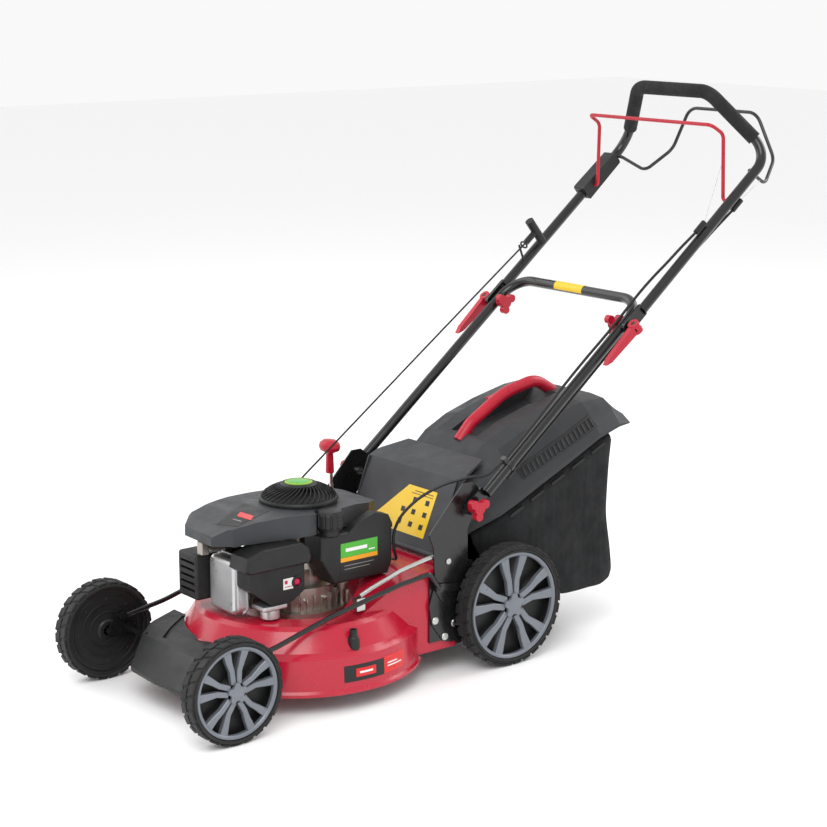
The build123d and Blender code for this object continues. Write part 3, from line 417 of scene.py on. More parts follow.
@dataclass
class Studio:
    """Pale floor, soft light and the camera."""

    camera_place: Point = (3.2662, -2.7005, 1.4249)
    azimuth: float = 51.425
    elevation: float = 12.477
    lens: float = 89.93
    sensor: float = 36.0
    floor_size: float = 30.0
    floor_level: float = -0.0008
    paper: Point = (0.95, 0.95, 0.95)
    sky: Point = (1.0, 1.0, 1.0)
    sky_strength: float = 0.95

    def build(self) -> None:
        """Make the camera, floor, sky and lamps."""
        self.add_camera()
        self.add_floor()
        self.add_sky()
        for lamp in LAMPS:
            lamp.hang()
        bpy.context.scene.view_settings.view_transform = "Standard"
        LOG.info("studio ready")

    def add_camera(self) -> None:
        """Make the camera and look through it."""
        data = bpy.data.cameras.new("camera")
        data.lens = self.lens
        data.sensor_width = self.sensor
        data.sensor_fit = "HORIZONTAL"
        camera = bpy.data.objects.new("camera", data)
        camera.location = self.camera_place
        camera.rotation_euler = (math.radians(90 - self.elevation), 0.0,
                                 math.radians(self.azimuth))
        bpy.context.scene.collection.objects.link(camera)
        bpy.context.scene.camera = camera

    def add_floor(self) -> None:
        """Lay the floor just under the tyres."""
        deselect_all()
        bpy.ops.mesh.primitive_plane_add(size=self.floor_size, location=(0, 0, self.floor_level))
        floor = bpy.context.active_object
        floor.name = "floor"
        graph = Graph("floor_paper")
        graph.shader.inputs["Base Color"].default_value = (*self.paper, 1.0)
        graph.link(graph.spread(graph.noise(3.0), 0.85, 0.95), graph.shader.inputs["Roughness"])
        floor.data.materials.append(graph.material)

    def add_sky(self) -> None:
        """Make the even pale surround."""
        world = bpy.data.worlds.new("studio_sky")
        world.use_nodes = True
        sky = world.node_tree.nodes["Background"]
        sky.inputs["Color"].default_value = (*self.sky, 1.0)
        sky.inputs["Strength"].default_value = self.sky_strength
        bpy.context.scene.world = world


def deselect_all() -> None:
    """Leave edit mode and deselect everything."""
    if bpy.context.object is not None and bpy.context.object.mode != "OBJECT":
        bpy.ops.object.mode_set(mode="OBJECT")
    bpy.ops.object.select_all(action="DESELECT")


def select_only(obj: bpy.types.Object) -> None:
    """Select one piece and make it active."""
    deselect_all()
    obj.select_set(True)
    bpy.context.view_layer.objects.active = obj


def strand(name: str, points: list[Vector], radius: float,
           facets: int = 4) -> bpy.types.Object:
    """A round strand along one smooth spline.

    Args:
        name: the strand's name.
        points: the spline's control points.
        radius: the strand's radius.
        facets: how finely its section is rounded.

    Returns:
        The strand, still a curve.
    """
    data = bpy.data.curves.new(name, "CURVE")
    data.dimensions = "3D"
    data.bevel_depth = radius
    data.bevel_resolution = facets
    spline = data.splines.new("NURBS")
    spline.points.add(len(points) - 1)
    for knot, point in zip(spline.points, points):
        knot.co = (*point, 1.0)
    spline.order_u = 3
    spline.use_endpoint_u = True
    made = bpy.data.objects.new(name, data)
    bpy.context.scene.collection.objects.link(made)
    return made


# Starter rope


@dataclass
class StarterRope:
    """The rope between the recoil starter and its T-handle."""

    front_axle_y: float = -0.709
    radius: float = 0.002
    route: list[Point] = field(default_factory=lambda: [
        (-0.0720, 0.352, 0.3660), (-0.1122, 0.595, 0.5075), (-0.1532, 0.842, 0.6509),
        (-0.1940, 1.092, 0.7950),
    ])

    def build(self) -> None:
        """Make the rope as one smooth spline."""
        points = [Vector((x, y + self.front_axle_y, z)) for x, y, z in self.route]
        rope = strand("rope", points, self.radius, 3)
        dress(rope, Paint.ROPE)
        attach(rope, "chassis")
        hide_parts("starter_rope")


# Modelling helpers


def centre(node: str) -> Vector:
    """The middle of a CAD node's box."""
    low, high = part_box(node)
    return (low + high) / 2


FRONT_AXLE_Y = centre("tyre_front_left").y
MM = 0.001


def at(x: float, y: float, z: float) -> Vector:
    """A place in metres, from millimetres measured from the front axle."""
    return Vector((x * MM, y * MM + FRONT_AXLE_Y, z * MM))


def facing(origin: Vector, right: Point, up: Point) -> Matrix:
    """A frame on a surface.

    Args:
        origin: where its centre lies.
        right: the direction of its own X.
        up: the direction of its own Y.

    Returns:
        The matrix from that frame to the mower's, with Z off the surface.
    """
    across = Vector(right).normalized()
    upward = Vector(up).normalized()
    matrix = Matrix((across, upward, across.cross(upward))).transposed().to_4x4()
    matrix.translation = origin
    return matrix


def edit(obj: bpy.types.Object) -> None:
    """Open one piece for editing with everything in it selected."""
    select_only(obj)
    bpy.ops.object.mode_set(mode="EDIT")
    bpy.ops.mesh.select_all(action="SELECT")


def close(obj: bpy.types.Object, weld: float = 0.00001) -> bpy.types.Object:
    """Merge doubles, turn the faces outwards and leave edit mode.

    Args:
        obj: the piece being edited.
        weld: how near two vertices are merged.

    Returns:
        The same piece.
    """
    bpy.ops.mesh.select_all(action="SELECT")
    bpy.ops.mesh.remove_doubles(threshold=weld)
    bpy.ops.mesh.normals_make_consistent(inside=False)
    bpy.ops.object.mode_set(mode="OBJECT")
    return obj


def pick_faces(obj: bpy.types.Object, test: Test) -> None:
    """Select, in edit mode, the faces whose centres pass a test.

    Args:
        obj: the piece being edited.
        test: says whether a face's centre is wanted.
    """
    bpy.ops.mesh.select_all(action="DESELECT")
    bpy.ops.object.mode_set(mode="OBJECT")
    for face in obj.data.polygons:
        face.select = test(face.center)
    bpy.ops.object.mode_set(mode="EDIT")
    bpy.ops.mesh.select_mode(type="FACE")


def plate(outline: Outline, thickness: float, edge: float = 0.0) -> bpy.types.Object:
    """A flat plate on its own XY plane, rising along Z.

    Args:
        outline: its corners in order.
        thickness: its height.
        edge: the width of the bevel round its edges.

    Returns:
        The plate.
    """
    deselect_all()
    bpy.ops.mesh.primitive_circle_add(vertices=len(outline), radius=1.0, fill_type="NGON")
    obj = bpy.context.active_object
    for vertex, (x, y) in zip(obj.data.vertices, outline):
        vertex.co = (x, y, 0.0)
    edit(obj)
    bpy.ops.mesh.extrude_region_move(TRANSFORM_OT_translate={"value": (0, 0, thickness)})
    close(obj)
    if edge:
        bevel(obj, edge)
    return obj


def rectangle(half_width: float, half_height: float) -> Outline:
    """The four corners of a rectangle about its centre."""
    return [(-half_width, -half_height), (half_width, -half_height),
            (half_width, half_height), (-half_width, half_height)]


def hexagon(radius: float) -> Outline:
    """The six corners of a bolt head."""
    return [(radius * math.cos(math.radians(60 * k)), radius * math.sin(math.radians(60 * k)))
            for k in range(6)]


def turned(profile: Outline, steps: int = 64, start: float = 0.0,
           sweep: float = 360.0) -> bpy.types.Object:
    """A closed profile spun about Z.

    Args:
        profile: its corners, each a radius and a height.
        steps: how many segments the turn has.
        start: the angle of the first section in degrees.
        sweep: how far it turns from there, clockwise, in degrees.

    Returns:
        The turned piece.
    """
    deselect_all()
    bpy.ops.mesh.primitive_circle_add(vertices=len(profile), radius=1.0, fill_type="NOTHING")
    obj = bpy.context.active_object
    angle = math.radians(start)
    for vertex, (r, h) in zip(obj.data.vertices, profile):
        vertex.co = (r * math.cos(angle), r * math.sin(angle), h)
    edit(obj)
    if sweep < 360:
        bpy.ops.mesh.edge_face_add()
    bpy.ops.mesh.spin(steps=steps, angle=math.radians(sweep), center=(0, 0, 0), axis=(0, 0, 1))
    return close(obj)


def apply(obj: bpy.types.Object, kind: str, **values: object) -> None:
    """Add one modifier to a piece and apply it.

    Args:
        obj: the piece.
        kind: the modifier's type.
        values: its settings.
    """
    select_only(obj)
    modifier = obj.modifiers.new(kind.lower(), kind)
    for key, value in values.items():
        setattr(modifier, key, value)
    bpy.ops.object.modifier_apply(modifier=modifier.name)


def bevel(obj: bpy.types.Object, width: float, segments: int = 2,
          limit: float = 30.0) -> None:
    """Round a piece's sharp edges.

    Args:
        obj: the piece.
        width: the width of the bevel.
        segments: how many facets it has.
        limit: the angle in degrees above which an edge is sharp.
    """
    apply(obj, "BEVEL", width=width, segments=segments, limit_method="ANGLE",
          angle_limit=math.radians(limit), harden_normals=False)


def put(obj: bpy.types.Object, matrix: Matrix) -> bpy.types.Object:
    """Move a piece's mesh by a matrix and leave its object at the origin."""
    obj.data.transform(matrix @ obj.matrix_world)
    obj.matrix_world = Matrix()
    return obj


def joined(pieces: Iterable[bpy.types.Object]) -> bpy.types.Object:
    """Join pieces into the first of them.

    Args:
        pieces: the pieces, at least one.

    Returns:
        The joined piece.
    """
    together = list(pieces)
    deselect_all()
    for obj in together:
        obj.select_set(True)
    bpy.context.view_layer.objects.active = together[0]
    if len(together) > 1:
        bpy.ops.object.join()
    return together[0]


def repeated(obj: bpy.types.Object, places: Iterable[Matrix]) -> bpy.types.Object:
    """Copies of a piece at several places, joined; the original is used up.

    Args:
        obj: the piece to copy.
        places: a matrix for each copy.

    Returns:
        The joined copies.
    """
    made = []
    for matrix in places:
        copy = bpy.data.objects.new(obj.name, obj.data.copy())
        bpy.context.scene.collection.objects.link(copy)
        copy.data.transform(matrix)
        made.append(copy)
    bpy.data.objects.remove(obj)
    return joined(made)


def turn(degrees: float, axis: str = "Z") -> Matrix:
    """A rotation about an axis through the origin."""
    return Matrix.Rotation(math.radians(degrees), 4, axis)


def hit(node: str, start: Vector, direction: Point) -> tuple[Vector, Vector]:
    """Where a line first meets a CAD node.

    Args:
        node: the CAD node.
        start: where the line starts.
        direction: which way it goes.

    Returns:
        The place, and the surface's normal there.
    """
    found, place, normal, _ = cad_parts[node].ray_cast(start, Vector(direction))
    if not found:
        raise ValueError(f"nothing of {node} lies that way")
    return place, normal


def settle(obj: bpy.types.Object, name: str, body: str, paint: Paint,
           stands_for: Iterable[str] = (), angle: float = 35.0) -> bpy.types.Object:
    """Name, shade, dress and mount a finished piece.

    Args:
        obj: the piece.
        name: its name.
        body: the CAD body it rides on.
        paint: its finish.
        stands_for: the CAD nodes it replaces.
        angle: edges flatter than this many degrees are shaded smooth.

    Returns:
        The same piece.
    """
    select_only(obj)
    bpy.ops.object.shade_smooth_by_angle(angle=math.radians(angle))
    obj.name = obj.data.name = name
    dress(obj, paint)
    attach(obj, body)
    if stands_for:
        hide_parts(*stands_for)
    LOG.info("%s: %d faces", name, len(obj.data.polygons))
    return obj


# Stickers


Corners = tuple[Vector, Vector, Vector, Vector]


@dataclass(frozen=True)
class Sticker:
    """A thin patch laid on a CAD node's surface between four corners."""

    name: str
    node: str
    body: str
    direction: Point
    corners: Corners
    paint: Paint
    slot: str
    lift: float = 0.00025
    grid: tuple[int, int] = (12, 6)

    def build(self) -> bpy.types.Object:
        """Lay the patch.

        Returns:
            The sticker.
        """
        deselect_all()
        bpy.ops.mesh.primitive_grid_add(x_subdivisions=self.grid[0],
                                        y_subdivisions=self.grid[1], size=2.0)
        obj = bpy.context.active_object
        low_left, low_right, high_right, high_left = self.corners
        for vertex in obj.data.vertices:
            u, v = (vertex.co.x + 1) / 2, (vertex.co.y + 1) / 2
            start = low_left.lerp(low_right, u).lerp(high_left.lerp(high_right, u), v)
            place, normal = hit(self.node, start, self.direction)
            vertex.co = place + normal * self.lift
        apply(obj, "SOLIDIFY", thickness=0.0002, offset=0.0)
        edit(obj)
        close(obj, 0.0)
        return settle(obj, self.name, self.body, self.paint, angle=50)


def yz(x: float, y0: float, z0: float, y1: float, z1: float) -> Corners:
    """Corners of a patch seen along X, from its low front to its high rear."""
    return at(x, y0, z0), at(x, y1, z0), at(x, y1, z1), at(x, y0, z1)


def xz(y: float, x0: float, z0: float, x1: float, z1: float) -> Corners:
    """Corners of a patch seen along Y."""
    return at(x0, y, z0), at(x1, y, z0), at(x1, y, z1), at(x0, y, z1)


Row = tuple[str, tuple[float, float, float, float], Paint, float]


@dataclass
class Stickers:
    """The plain coloured stickers: shapes and bars only, with no lettering."""

    base: float = 0.0003
    mark: float = 0.0007
    top: float = 0.0011

    def build(self) -> None:
        """Lay every sticker."""
        self.deck()
        self.tank()
        self.shroud()
        self.flap()
        self.crossbar()

    def left_side(self, node: str, slot: str, x: float, rows: Iterable[Row]) -> None:
        """Lay patches on the left side of a chassis node.

        Args:
            node: the CAD node.
            slot: not used.
            x: how far out they are dropped from.
            rows: each patch's name, low front and high rear corner, finish and lift.
        """
        for name, box, paint, lift in rows:
            Sticker(name, node, "chassis", (-1, 0, 0), yz(x, *box), paint, slot, lift).build()

    def deck(self) -> None:
        """The black and red panels on the deck's left side."""
        self.left_side("deck_shell", "deck_red", 400, (
            ("deck_panel_black", (254, 60, 346, 93), Paint.PRINT, self.base),
            ("deck_panel_red", (346.5, 61, 408, 95), Paint.SIGNAL_RED, self.base),
            ("deck_emblem", (279, 68, 325, 85), Paint.SIGNAL_RED, self.mark),
            ("deck_emblem_bar", (287, 74.5, 317, 78.5), Paint.WHITE, self.top),
            ("deck_mark_low", (356, 73, 398, 75.5), Paint.WHITE, self.mark),
            ("deck_mark_high", (356, 79, 384, 81.5), Paint.WHITE, self.mark)))

    def tank(self) -> None:
        """The three-band sticker on the tank and the white one on the intake."""
        self.left_side("fuel_tank", "black_plastic", 200, (
            ("tank_band_green", (333, 268, 424, 297), Paint.GREEN, self.base),
            ("tank_band_yellow", (333, 259, 424, 267.6), Paint.GOLD, self.base),
            ("tank_band_black", (333, 235, 424, 258.6), Paint.PRINT, self.base),
            ("tank_bar", (345, 279, 398, 286), Paint.WHITE, self.mark),
            ("tank_bar_small", (402, 274, 417, 276.5), Paint.WHITE, self.mark),
            ("tank_line_high", (342, 250, 414, 251.2), Paint.GREY_PRINT, self.mark),
            ("tank_line_low", (342, 243, 404, 244.2), Paint.GREY_PRINT, self.mark)))
        self.left_side("air_filter", "black_plastic", 200, (
            ("intake_sticker", (205, 224, 229, 246), Paint.WHITE, self.base),
            ("intake_mark", (208.5, 235, 215, 242), Paint.PINK, self.mark),
            ("intake_line", (208.5, 228.5, 225, 230), Paint.PINK, self.mark)))

    def shroud(self) -> None:
        """The dark front panel on the engine shroud with its small red badge."""
        down = (0, 0, -1)
        panel = (at(24, 108, 500), at(72, 128, 500), at(40, 222, 500), at(-40, 214, 500))
        badge = (at(22, 157, 500), at(66, 160, 500), at(46, 180, 500), at(4, 177, 500))
        mark = (at(30, 142, 500), at(56, 144, 500), at(54, 147, 500), at(29, 145, 500))
        for name, corners, paint, lift in (
                ("shroud_panel", panel, Paint.PLASTIC, self.base),
                ("shroud_badge", badge, Paint.SIGNAL_RED, self.mark),
                ("shroud_mark", mark, Paint.GREY_PRINT, self.mark)):
            Sticker(name, "engine_shroud", "chassis", down, corners, paint, "shroud_grey",
                    lift, (10, 14)).build()

    def flap(self) -> None:
        """The yellow panel on the rear flap with plain dark shapes."""
        back = (0, 1, 0)
        sheet = (at(-92, 300, 262), at(98, 300, 262), at(98, 300, 353), at(6, 300, 353))
        Sticker("flap_panel", "rear_flap", "flap", back, sheet, Paint.YELLOW, "shroud_grey",
                self.base).build()
        marks = [xz(300, x - 6, z - 5, x + 6, z + 5) for x, z in (
            (38, 328), (78, 328), (10, 305), (44, 305), (80, 305), (10, 281), (46, 281),
            (80, 281))]
        marks += [xz(300, 30, 344, 90, 345.5), xz(300, 22, 339, 90, 340.2)]
        for index, corners in enumerate(marks):
            Sticker(f"flap_mark_{index + 1}", "rear_flap", "flap", back, corners, Paint.PRINT,
                    "shroud_grey", self.mark, (3, 3)).build()

    def crossbar(self) -> None:
        """The yellow band round the lower handle's crossbar."""
        low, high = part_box("lower_handle")
        tube = 0.011
        middle = Vector((-0.019, high.y - tube, high.z - tube))
        inner, outer = tube + 0.0003, tube + 0.0007
        band = turned([(inner, -0.044), (outer, -0.044), (outer, 0.044), (inner, 0.044)],
                      steps=24, start=205, sweep=150)
        put(band, facing(middle, (0, 1, 0), (0, 0, 1)))
        settle(band, "crossbar_band", "lower_handle", Paint.YELLOW)


# Wheels


@dataclass
class Wheel:
    """A moulded wheel: treaded tyre, black disc and grey five-spoked cover."""

    corner: str
    rim: float
    lugs: int
    half_width: float = 0.022
    thread: float = 0.0020
    ring: float = 0.009
    spokes: int = 5
    radius: float = field(init=False)
    place: Matrix = field(init=False)

    def build(self) -> None:
        """Model the wheel's three pieces and put them on its body."""
        low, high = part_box(f"tyre_{self.corner}")
        middle = (low + high) / 2
        outboard = 1.0 if middle.x > 0 else -1.0
        self.radius = (high.z - low.z) / 2
        self.place = facing(middle, (0, 1, 0), (0, 0, outboard))
        body = f"wheel_{self.corner}"
        settle(put(self.tyre(), self.place), f"tread_{self.corner}", body, Paint.TYRE,
               [f"tyre_{self.corner}"], angle=28)
        settle(put(self.disc(), self.place), f"disc_{self.corner}", body, Paint.PLASTIC,
               [f"wheel_{self.corner}"])
        settle(put(self.cover(), self.place), f"cover_{self.corner}", body, Paint.WHEEL)

    def tyre(self) -> bpy.types.Object:
        """The tyre's carcass with slanting lugs on both shoulders.

        Returns:
            The tyre, about its own Z.
        """
        r, rim, half = self.radius, self.rim, self.half_width
        carcass = turned([
            (rim, -half + 0.003), (rim + 0.003, -half + 0.0006), (rim + 0.006, -half + 0.0012),
            (r - 0.010, -half + 0.0008), (r - 0.0055, -half + 0.003),
            (r - self.thread - 0.0006, -half + 0.007), (r - self.thread, -0.004),
            (r - self.thread - 0.0012, -0.0012), (r - self.thread - 0.0012, 0.0012),
            (r - self.thread, 0.004), (r - self.thread - 0.0006, half - 0.007),
            (r - 0.0055, half - 0.003), (r - 0.010, half - 0.0008), (rim + 0.006, half - 0.0012),
            (rim + 0.003, half - 0.0006), (rim, half - 0.002),
        ], steps=96)
        pitch = 2 * math.pi * r / self.lugs
        wide, slant = 0.41 * pitch, 0.15 * pitch
        outline = [(-wide + slant, 0.0018), (wide + slant, 0.0018), (wide - slant, 0.0195),
                   (-wide - slant, 0.0195)]
        lug = plate(outline, self.thread + 0.002)
        edit(lug)
        pick_faces(lug, lambda c: c.z > self.thread + 0.0018)
        bpy.ops.transform.resize(value=(0.86, 0.93, 1.0), center_override=(0.0, 0.009, 0.0))
        close(lug)
        bevel(lug, 0.0007, 1)
        put(lug, facing(Vector((r - self.thread - 0.0023, 0, 0)), (0, 1, 0), (0, 0, 1)))
        step = 360 / self.lugs
        far = Matrix.Diagonal((1, -1, -1, 1))
        spots = [turn(step * i) for i in range(self.lugs)]
        spots += [turn(step * (i + 0.5)) @ far for i in range(self.lugs)]
        return joined([carcass, repeated(lug, spots)])

    def disc(self) -> bpy.types.Object:
        """The black wheel disc, with rings on its inner face and a bearing boss.

        Returns:
            The disc, about its own Z.
        """
        rim, bore = self.rim, 0.0105
        profile = [(bore, -0.018), (0.019, -0.018), (0.022, -0.0145)]
        for share in (0.42, 0.62, 0.82):
            r = share * rim
            profile += [(r - 0.0022, -0.0135), (r - 0.0012, -0.0152), (r + 0.0012, -0.0152),
                        (r + 0.0022, -0.0135)]
        profile += [(rim - 0.006, -0.0135), (rim - 0.004, -0.018), (rim, -0.018), (rim, 0.012),
                    (rim - 0.0035, 0.012), (rim - 0.005, -0.006), (0.026, -0.0075),
                    (0.018, 0.008), (bore, 0.008)]
        disc = turned(profile, steps=72)
        screw = turned([(0.0, 0.0), (0.0026, 0.0), (0.0026, 0.0009), (0.0018, 0.0018),
                        (0.0, 0.0018)], steps=10)
        put(screw, Matrix.Translation((0.72 * rim, 0, -0.0132)) @ turn(180, "X"))
        return joined([disc, repeated(screw, [turn(45 * i) for i in range(8)])])

    def cover(self) -> bpy.types.Object:
        """The grey cover: rim ring, five forked spokes and a star-shaped cap.

        Returns:
            The cover, about its own Z.
        """
        rim = self.rim
        ring = turned([(rim - self.ring, 0.0095), (rim - 0.0006, 0.0122), (rim - 0.0006, 0.017),
                       (rim - 0.002, 0.0192), (rim - 0.0055, 0.0196), (rim - 0.0075, 0.0182),
                       (rim - self.ring, 0.0165)], steps=96)
        legs = []
        for side in (1, -1):
            outline = [(0.19, 0.012), (0.46, 0.030), (0.66, 0.085), (0.925, 0.135),
                       (0.925, 0.335), (0.66, 0.235), (0.46, 0.150), (0.19, 0.125)]
            corners = [(x * rim, side * y * rim) for x, y in outline]
            leg = plate(corners, 0.009)
            edit(leg)
            pick_faces(leg, lambda c: c.z > 0.0085)
            bpy.ops.mesh.inset(thickness=0.0011, depth=0.0)
            bpy.ops.transform.translate(value=(0, 0, 0.0012))
            close(leg)
            put(leg, Matrix.Translation((0, 0, 0.0078)))
            legs.append(leg)
        for leg in legs:
            for vertex in leg.data.vertices:
                vertex.co.z -= 0.0035 * math.sin(math.pi * min(1.0, vertex.co.x / rim))
        spokes = repeated(joined(legs), [turn(72 * i + 90) for i in range(self.spokes)])
        star = []
        for i in range(self.spokes):
            for angle, r in ((-13, 0.235), (13, 0.235), (27, 0.165), (45, 0.165)):
                a = math.radians(72 * i + angle + 90)
                star.append((r * rim * math.cos(a), r * rim * math.sin(a)))
        cap = plate(star, 0.0085, 0.0012)
        put(cap, Matrix.Translation((0, 0, 0.0112)))
        boss = turned([(0.0, 0.0115), (0.15 * rim, 0.0115), (0.15 * rim, 0.0198),
                       (0.135 * rim, 0.0206), (0.05 * rim, 0.0208), (0.0, 0.0204)], steps=40)
        return joined([ring, spokes, cap, boss])


# Grass catcher


@dataclass
class Catcher:
    """Cloth bag with piped seams, and the vents and clips of the hard cover."""

    body: str = "catcher"
    half: float = 0.1795
    round_by: float = 0.016
    voxel: float = 0.0075
    flat: tuple[float, float] = (1.16, 0.62)
    cloth_area: float = 0.52
    cloth: float = 0.0012
    piping_radius: float = 0.0014
    slats: int = 17
    side_line: Outline = field(default_factory=lambda: [
        (640, 266), (674, 198), (762, 152), (861, 103), (975, 96), (1018, 105), (1030, 130),
        (1008, 246), (1010, 334), (1022, 440), (970, 424), (880, 382), (800, 347), (742, 319),
        (700, 298)])

    def build(self) -> None:
        """Model the bag and its trim."""
        bag = self.bag()
        settle(bag, "grass_bag", self.body, Paint.BAG, ["catcher_bag"], angle=60)
        seams = settle(self.piping(bag), "bag_seams", self.body, Paint.PIPING,
                       angle=60)
        for side, word in ((1, "left"), (-1, "right")):
            settle(self.vents(side), f"vent_slats_{word}", self.body, Paint.COVER)
            # Painted shade: a dark patch under the slats stands for the shaded openings of the
            # vents.
            corners = tuple(at(side * 400, y, z) for y, z in (
                (766, 368), (975, 453), (965, 476), (756, 391)))
            Sticker(f"vent_shade_patch_{word}", "catcher_cover", self.body, (-side, 0, 0), corners,
                    Paint.COVER_DARK, "shroud_grey", 0.0002).build()
            settle(self.clips(side), f"rim_clips_{word}", self.body, Paint.PLASTIC)

    def bag(self) -> bpy.types.Object:
        """The bag: a rounded form remeshed, sagged, opened and given its thickness.

        Returns:
            The bag.
        """
        outline = [((y * MM + FRONT_AXLE_Y), z * MM) for y, z in self.side_line]
        form = plate(outline, 2 * self.half)
        put(form, facing(Vector((-self.half, 0, 0)), (0, 1, 0), (0, 0, 1)))
        bevel(form, self.round_by, 4, limit=60)
        apply(form, "REMESH", mode="VOXEL", voxel_size=self.voxel)
        apply(form, "SMOOTH", factor=0.5, iterations=4)
        edit(form)
        pick_faces(form, self.is_open)
        bpy.ops.mesh.delete(type="FACE")
        bpy.ops.object.mode_set(mode="OBJECT")
        normals = [vertex.normal.copy() for vertex in form.data.vertices]
        for vertex, normal in zip(form.data.vertices, normals):
            vertex.co += normal * self.sag(vertex.co, normal)
            vertex.co.x *= self.narrowing(self.side_place(vertex.co)[0])
        LOG.info("bag cloth %.3f m2", sum(face.area for face in form.data.polygons))
        apply(form, "SOLIDIFY", thickness=self.cloth, offset=-1.0)
        return form

    def side_place(self, place: Vector) -> tuple[float, float]:
        """Millimetres behind the front axle and above the ground."""
        return (place.y - FRONT_AXLE_Y) / MM, place.z / MM

    def rim_height(self, y: float) -> float:
        """The height of the cover's rim at a distance behind the front axle."""
        return 298 + (y - 700) * 0.4425

    def vent_frame(self, side: int, share: float) -> Matrix:
        """The frame part of the way along the vents in one side of the cover."""
        return self.on_cover(side, 775 + 190 * share, 383 + 78 * share)

    def narrowing(self, y: float) -> float:
        """How much of its full width the bag has at a distance behind the front axle."""
        if y >= 742:
            return 1.0
        if y >= 700:
            return 0.962 + 0.038 * (y - 700) / 42
        return 0.962 - 0.155 * (700 - y) / 80

    def is_open(self, place: Vector) -> bool:
        """Whether a place on the form belongs to the bag's open top or mouth."""
        y, z = self.side_place(place)
        above = z > self.rim_height(y) - 7
        return abs(place.x) < self.half - 0.010 and (above or y + 0.5 * z < 779)

    def sag(self, place: Vector, normal: Vector) -> float:
        """How far the cloth stands out or falls in at one place.

        Args:
            place: the place on the form.
            normal: the form's normal there.

        Returns:
            The offset along the normal in metres.
        """
        y, z = self.side_place(place)
        low = max(0.0, min(1.0, (330 - z) / 200))
        fold = math.sin(0.075 * y + 0.021 * z + 1.3 * math.sin(0.02 * z))
        crease = math.sin(0.05 * z - 0.034 * y + 0.9)
        if abs(normal.x) > 0.6:
            belly = math.sin(math.pi * max(0.0, min(1.0, (y - 650) / 370)))
            return 0.0036 * belly * low + 0.0012 * fold * low + 0.0009 * crease
        return 0.0016 * math.sin(0.045 * place.x / MM + 0.03 * z) * low - 0.0008

    def piping(self, bag: bpy.types.Object) -> bpy.types.Object:
        """The piped seams where the bag's side panels meet its back and bottom.

        Args:
            bag: the bag, which the seams lie on.

        Returns:
            The piping as one mesh.
        """
        made = []
        for side in (1, -1):
            run = []
            for first, last in zip(self.side_line[1:9], self.side_line[2:10]):
                for share in (0.15, 0.5, 0.85):
                    y = first[0] + share * (last[0] - first[0])
                    z = first[1] + share * (last[1] - first[1])
                    inside = at(side * 158, 0.93 * y + 0.07 * 860, 0.93 * z + 0.07 * 270)
                    out = (at(side * 181, y, z) - inside).normalized()
                    found, place, _, _ = bag.ray_cast(inside + out * 0.15, -out)
                    if found:
                        run.append(place + out * 0.0004)
            select_only(strand("piping", run, self.piping_radius))
            bpy.ops.object.convert(target="MESH")
            made.append(bpy.context.active_object)
        return joined(made)

    def on_cover(self, side: int, y: float, z: float) -> Matrix:
        """A frame on the cover's side, with its own X along the rim."""
        place, normal = hit("catcher_cover", at(side * 400, y, z), (-side, 0, 0))
        along = Vector((0, math.cos(math.radians(23)), math.sin(math.radians(23))))
        along = (along - normal * along.dot(normal)).normalized() * side
        return facing(place, tuple(along), tuple(normal.cross(along)))

    def vents(self, side: int) -> bpy.types.Object:
        """The slanted vent slats in one side of the cover.

        Args:
            side: 1 for the left, -1 for the right.

        Returns:
            The slats.
        """
        made = []
        for i in range(self.slats):
            matrix = self.vent_frame(side, i / (self.slats - 1))
            outline = [(-0.0048, -0.010), (-0.0005, -0.010), (0.0048, 0.010), (0.0005, 0.010)]
            slat = plate([(side * x, y) for x, y in outline], 0.0026, 0.0006)
            made.append(put(slat, matrix @ Matrix.Translation((0, 0, -0.0006))))
        for height in (-0.0125, 0.0125):
            ends = [self.vent_frame(side, share) @ Vector((0, height, 0))
                    for share in (-0.04, 0.5, 1.04)]
            normal = Vector(self.vent_frame(side, 0.5).to_3x3().col[2])
            for first, last in zip(ends, ends[1:]):
                bar = plate(rectangle((last - first).length / 2, 0.0011), 0.0022, 0.0005)
                along = (last - first).normalized() * side
                made.append(put(bar, facing((first + last) / 2 - normal * 0.0004,
                                            tuple(along), tuple(normal.cross(along)))))
        return joined(made)

    def clips(self, side: int) -> bpy.types.Object:
        """The clips that hold the cloth to the cover's rim on one side.

        Args:
            side: 1 for the left, -1 for the right.

        Returns:
            The clips.
        """
        made = []
        for share in (0.08, 0.29, 0.5, 0.71, 0.92):
            y = 720 + 270 * share
            z = self.rim_height(y) - 9
            clip = plate(rectangle(0.020, 0.0035), 0.003, 0.0008)
            edit(clip)
            pick_faces(clip, lambda c: c.z > 0.0029)
            bpy.ops.mesh.inset(thickness=0.0013, depth=-0.0014)
            close(clip)
            slope = math.radians(23.9)
            rise, run = math.sin(slope), math.cos(slope)
            made.append(put(clip, facing(at(side * 180.4, y, z), (0, side * run, side * rise),
                                         (0, -rise, run))))
        return joined(made)


# Engine


